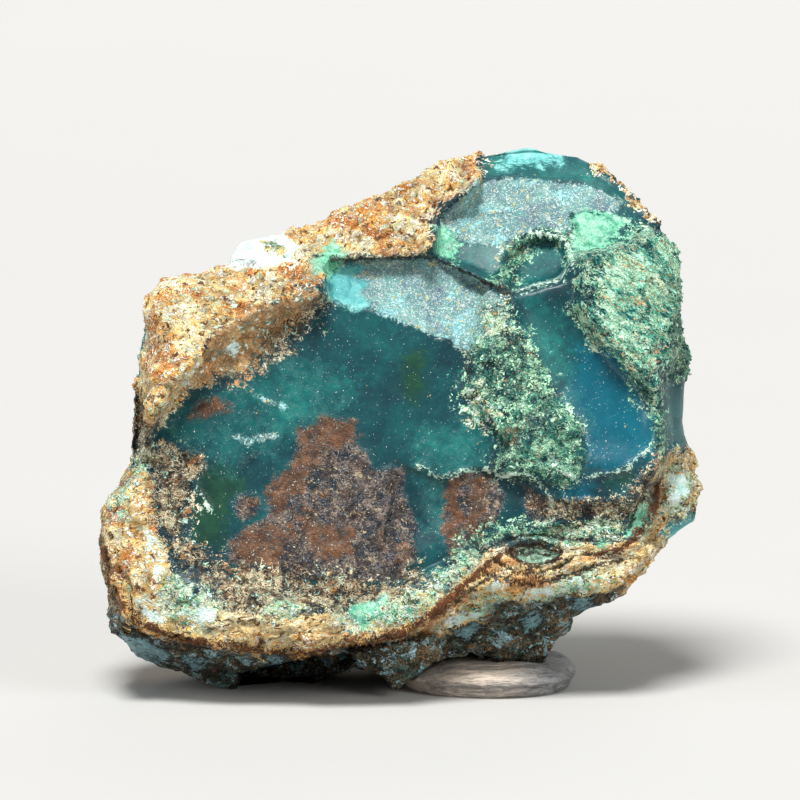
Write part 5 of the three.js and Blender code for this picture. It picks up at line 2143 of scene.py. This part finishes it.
@dataclass(frozen=True)
class StoneFinish:
    """The stone's material: glassy opal under rind, druse and stains."""

    body: Palette = OPAL
    patches: tuple[Patch, ...] = PATCHES
    roughness: float = 0.42
    gloss: float = 0.15
    # White specks and how they grow with their amount: partly real white grains and dust, partly painted
    # glints of sparkling crystals, thickest on the frost.
    speck_and_glint_amount: float = 0.12
    specks_and_glints: Specks = Specks((226, 238, 226), scale=6.6, radius=0.24, amount=0.0)
    speck_and_glint_growth: float = 0.2
    gold: Specks = Specks((214, 170, 96), scale=1.9, radius=0.17, amount=0.02)
    # Painted shade in pits and on the rind and painted highlight on tips: the relief's value, then the
    # brightness it gives.
    shade: tuple[float, float, float, float] = (-1.0, 0.7, 0.5, 1.16)  # evenness, then brightness
    curl_height: float = 0.5
    bump: float = 0.18
    coat_roughness: float = 0.2
    ior: float = 1.4
    streak: Place = (0.4, 1.0, 1.25)

    def build(self, effects: Effects) -> Material:
        """Make the material.

        Args:
            effects: The shared effects.

        Returns:
            The material.
        """
        material, graph, shader = new_material("blue_opal_with_rind")
        place = graph.stone_place()
        grain = graph.group(effects.grain, Place=place, Size=1.0)
        ground = Ground(graph, effects, place, grain)

        colour = self.body.paint(ground)
        roughness: Value = self.roughness
        gloss: Value = self.gloss
        speck_and_glint_amount: Value = self.speck_and_glint_amount
        curls: Value = 0.0
        curl: Value = linear(self.specks_and_glints.colour)
        for patch in self.patches:
            cover = self.cover(ground, patch)
            streaked = self.streaks(ground, patch.turn) if patch.turn else ground
            own = patch.palette.paint(streaked)
            for accent in patch.accents:
                own = accent.paint(streaked, own)
            colour = graph.blend(cover, colour, own)
            roughness = graph.between(cover, roughness, patch.roughness)
            gloss = graph.between(cover, gloss, patch.gloss)
            speck_and_glint_amount = graph.between(cover, speck_and_glint_amount, patch.speck_and_glint_amount)
            curls = graph.between(cover, curls, patch.curls)
            if patch.curls:
                curl = graph.blend(cover, curl, linear(patch.curl))
        curls = graph.math("MULTIPLY", curls, grain.outputs["Curls"])
        colour = graph.blend(curls, colour, curl)

        # Painted shade in pits and on the rind, and painted highlight on tips, read from the relief.
        deep = graph.ease(graph.attribute("relief_shade"), *self.shade)
        colour = graph.blend(1.0, colour, graph.grey(deep), "MULTIPLY")
        lighter = graph.math("ADD", graph.attribute("tone"), 1.0)
        colour = graph.blend(1.0, colour, graph.grey(lighter), "MULTIPLY")
        # White specks: partly real grains and dust, partly painted glints of sparkle.
        wider = graph.math("MULTIPLY_ADD", speck_and_glint_amount, self.speck_and_glint_growth, third=self.specks_and_glints.radius)
        colour = self.specks_and_glints.paint(ground, colour, Radius=wider, Amount=speck_and_glint_amount)
        colour = self.gold.paint(ground, colour)

        total = graph.math("ADD", grain.outputs["Fine"], grain.outputs["Grain"])
        total = graph.math("MULTIPLY_ADD", curls, self.curl_height, third=total)
        bump = graph.bump(1.0, self.bump)
        graph.give(bump.inputs["Height"], graph.math("MULTIPLY", total, graph.attribute("coarseness")))
        graph.give(shader["Base Color"], colour)
        graph.give(shader["Roughness"], roughness)
        graph.give(shader["Coat Weight"], gloss)
        graph.give(shader["Normal"], bump.outputs[0])
        shader["Coat Roughness"].default_value = self.coat_roughness
        shader["IOR"].default_value = self.ior
        return material

    def streaks(self, ground: Ground, turn: float) -> Ground:
        """The same ground with its unevennesses drawn out into streaks.

        Args:
            ground: The ground.
            turn: How steeply the streaks rise to the right, in degrees.

        Returns:
            The streaked ground.
        """
        graph = ground.graph
        given = {"Vector": ground.place, "Angle": math.radians(turn)}
        turned = graph.add("ShaderNodeVectorRotate", given, rotation_type="Y_AXIS")
        drawn = graph.scaled(turned.outputs[0], self.streak)
        return replace(ground, grain=graph.group(ground.effects.grain, Place=drawn, Size=1.0))

    @staticmethod
    def cover(ground: Ground, patch: Patch) -> Socket:
        """How far a patch covers the stone.

        Args:
            ground: The ground.
            patch: The patch.

        Returns:
            The cover, from 0 to 1.
        """
        graph, effects, layers = ground.graph, ground.effects, ground.grain.outputs
        distance = graph.attribute(patch.mark.value)
        if patch.mark in LINES:
            distance = graph.group(
                effects.line, Side=graph.attribute(LINES[patch.mark].value), Reach=distance,
                Fine=layers["Fine"], Width=LINE_WIDTHS[patch.mark], Waver=LINE_WAVER,
            ).outputs["Distance"]
        if patch.deepest < 3:
            distance = graph.math("MINIMUM", distance, patch.deepest)
        if patch.spread:
            distance = graph.math("ADD", distance, patch.spread)
        cover = graph.group(
            effects.patch, Distance=distance, Middle=layers["Middle"], Fine=layers["Fine"],
            Grain=layers["Grain"], Ragged=patch.ragged, Dither=patch.dither, Soft=patch.soft,
        ).outputs["Cover"]
        if patch.strength < 1:
            cover = graph.math("MULTIPLY", cover, patch.strength)
        return cover


@dataclass(frozen=True)
class PuttyFinish:
    """Grey-beige mounting putty with a low sheen, painted darker towards its far end."""

    smears: Palette = Palette(
        ((92, 90, 90), (158, 150, 142), (218, 202, 186), (252, 234, 214)),
        broad=0.35, middle=0.6, fine=0.35, grain=0.15,
    )
    stretch: Place = (0.3, 0.8, 1.5)
    grain_size: float = 0.8
    fluff: Specks = Specks((92, 84, 76), scale=3.0, radius=0.2, amount=0.06)
    # Painted shade: a cool tint that darkens the putty's colour from x 9 to 15.5 stone units, towards its
    # far end.
    painted_shade_tint: Rgb = (176, 190, 204)
    painted_shade_span: Spot = (9.0, 15.5)
    shine: tuple[float, float, float, float] = (0.4, 1.6, 0.38, 0.6)  # unevenness, then roughness
    bump_strength: float = 0.8
    bump: float = 0.2

    def build(self, effects: Effects) -> Material:
        """Make the material.

        Args:
            effects: The shared effects.

        Returns:
            The material.
        """
        material, graph, shader = new_material("mounting_putty")
        place = graph.stone_place()
        grain = graph.group(effects.grain, Place=graph.scaled(place, self.stretch), Size=self.grain_size)
        ground = Ground(graph, effects, place, grain)
        colour = self.fluff.paint(ground, self.smears.paint(ground))
        # Painted shade towards the putty's far end.
        parts = graph.add("ShaderNodeSeparateXYZ", (place,))
        painted_shade_share = graph.ease(parts.outputs[0], *self.painted_shade_span)
        colour = graph.blend(painted_shade_share, colour, linear(self.painted_shade_tint), "MULTIPLY")
        total = graph.math("ADD", grain.outputs["Middle"], grain.outputs["Fine"])
        bump = graph.bump(self.bump_strength, self.bump)
        graph.give(bump.inputs["Height"], total)
        graph.give(shader["Base Color"], colour)
        graph.give(shader["Roughness"], graph.ease(total, *self.shine))
        graph.give(shader["Normal"], bump.outputs[0])
        return material


@dataclass
class Studio:
    """Floor, light and camera."""

    target: Place = (0.0, -0.00446, 0.02167)
    distance: float = 1.4667
    elevation: float = math.radians(10)
    lens: float = 900.0
    sensor: float = 36.0
    nearest: float = 0.01
    floor_size: float = 6.0
    floor_tone: Rgb = (192, 191, 188)
    floor_shade: float = 0.985
    floor_noise: Spot = (40.0, 2.0)
    backdrop: Rgb = (236, 236, 234)
    key: float = 4.1
    key_spread: float = math.radians(24)
    key_from: Place = (-0.05, -0.14, 0.42)
    ambient: float = 0.16
    ambient_tone: Colour = (0.92, 0.95, 1, 1)
    fills: tuple[tuple[str, Place, float, float], ...] = (  # name, place, size and power
        ("right_fill", (0.42, -0.36, 0.3), 0.3, 1.6),
        ("left_fill", (-0.5, -0.1, 0.2), 0.3, 0.8),
        ("back_fill", (0.1, 0.55, 0.35), 0.4, 0.8),
    )

    def floor(self) -> Piece:
        """A pale plain floor.

        Returns:
            The floor.
        """
        half = self.floor_size / 2
        corners = [(-half, -half, 0), (half, -half, 0), (half, half, 0), (-half, half, 0)]
        mesh = bpy.data.meshes.new("studio_floor")
        mesh.from_pydata(corners, [], [(0, 1, 2, 3)])
        material, graph, shader = new_material("plain_floor")
        place = graph.add("ShaderNodeTexCoord").outputs["Object"]
        *light, full = linear(self.floor_tone)
        low = (*(self.floor_shade * part for part in light), full)
        faint = graph.noise(place, *self.floor_noise)
        graph.give(shader["Base Color"], graph.blend(faint, low, (*light, full)))
        shader["Roughness"].default_value = 1.0
        shader["Specular IOR Level"].default_value = 0.0
        mesh.materials.append(material)
        floor = bpy.data.objects.new("studio_floor", mesh)
        bpy.context.scene.collection.objects.link(floor)
        return floor

    def aim(self, thing: Piece, at: Place) -> None:
        """Stand a light or the camera at a place, turned to the stone.

        Args:
            thing: The light or the camera.
            at: The place.
        """
        thing.location = at
        thing.rotation_euler = (Vector(self.target) - Vector(at)).to_track_quat("-Z", "Y").to_euler()
        bpy.context.scene.collection.objects.link(thing)

    def lights(self) -> None:
        """A wide key light from above, low fills and an even pale room."""
        key = bpy.data.lights.new("top_key", "SUN")
        key.energy = self.key
        key.angle = self.key_spread
        self.aim(bpy.data.objects.new("top_key", key), self.key_from)
        for name, at, size, power in self.fills:
            lamp = bpy.data.lights.new(name, "AREA")
            lamp.shape = "SQUARE"
            lamp.size = size
            lamp.energy = power
            self.aim(bpy.data.objects.new(name, lamp), at)
        world = bpy.data.worlds.new("room")
        world.use_nodes = True
        graph = Graph(world.node_tree)
        room = world.node_tree.nodes["Background"]
        seen = graph.add("ShaderNodeLightPath").outputs["Is Camera Ray"]
        graph.give(room.inputs["Color"], graph.blend(seen, self.ambient_tone, linear(self.backdrop)))
        graph.give(room.inputs["Strength"], graph.between(seen, self.ambient, 1.0))
        bpy.context.scene.world = world

    def camera(self) -> None:
        """The camera, long and a little above the stone."""
        lens = bpy.data.cameras.new("camera")
        lens.lens = self.lens
        lens.sensor_width = self.sensor
        lens.clip_start = self.nearest
        view = bpy.data.objects.new("camera", lens)
        back = Vector((0, -math.cos(self.elevation), math.sin(self.elevation)))
        self.aim(view, tuple(Vector(self.target) + back * self.distance))
        bpy.context.scene.camera = view
        bpy.context.scene.view_settings.view_transform = "Standard"


GRAINS = (
    Grains("druse_crystals", Mark.DRUSE, 14000, (0.08, 0.32), tall=0.7, seed=3, brightness=0.15),
    Grains("rind_crumbs", Mark.RIND, 14000, (0.08, 0.3), tall=0.4, seed=11, spread=2.0, brightness=0.1),
    Grains("grit_grains", Mark.GRIT, 12000, (0.08, 0.28), tall=0.6, seed=23, brightness=0.18),
)


def main() -> None:
    """Build the specimen and its studio."""
    logging.basicConfig(level=logging.INFO, format="%(message)s")
    effects = Effects()
    stone_finish = StoneFinish().build(effects)
    putty_finish = PuttyFinish().build(effects)
    stone = OpalStone()
    skin = stone.build_skin(stone_finish)
    for grains in GRAINS:
        grains.build(stone.skin, stone_finish)
    PuttyWad().build(skin, putty_finish)
    studio = Studio()
    studio.floor()
    studio.lights()
    studio.camera()


if __name__ == "__main__":
    main()
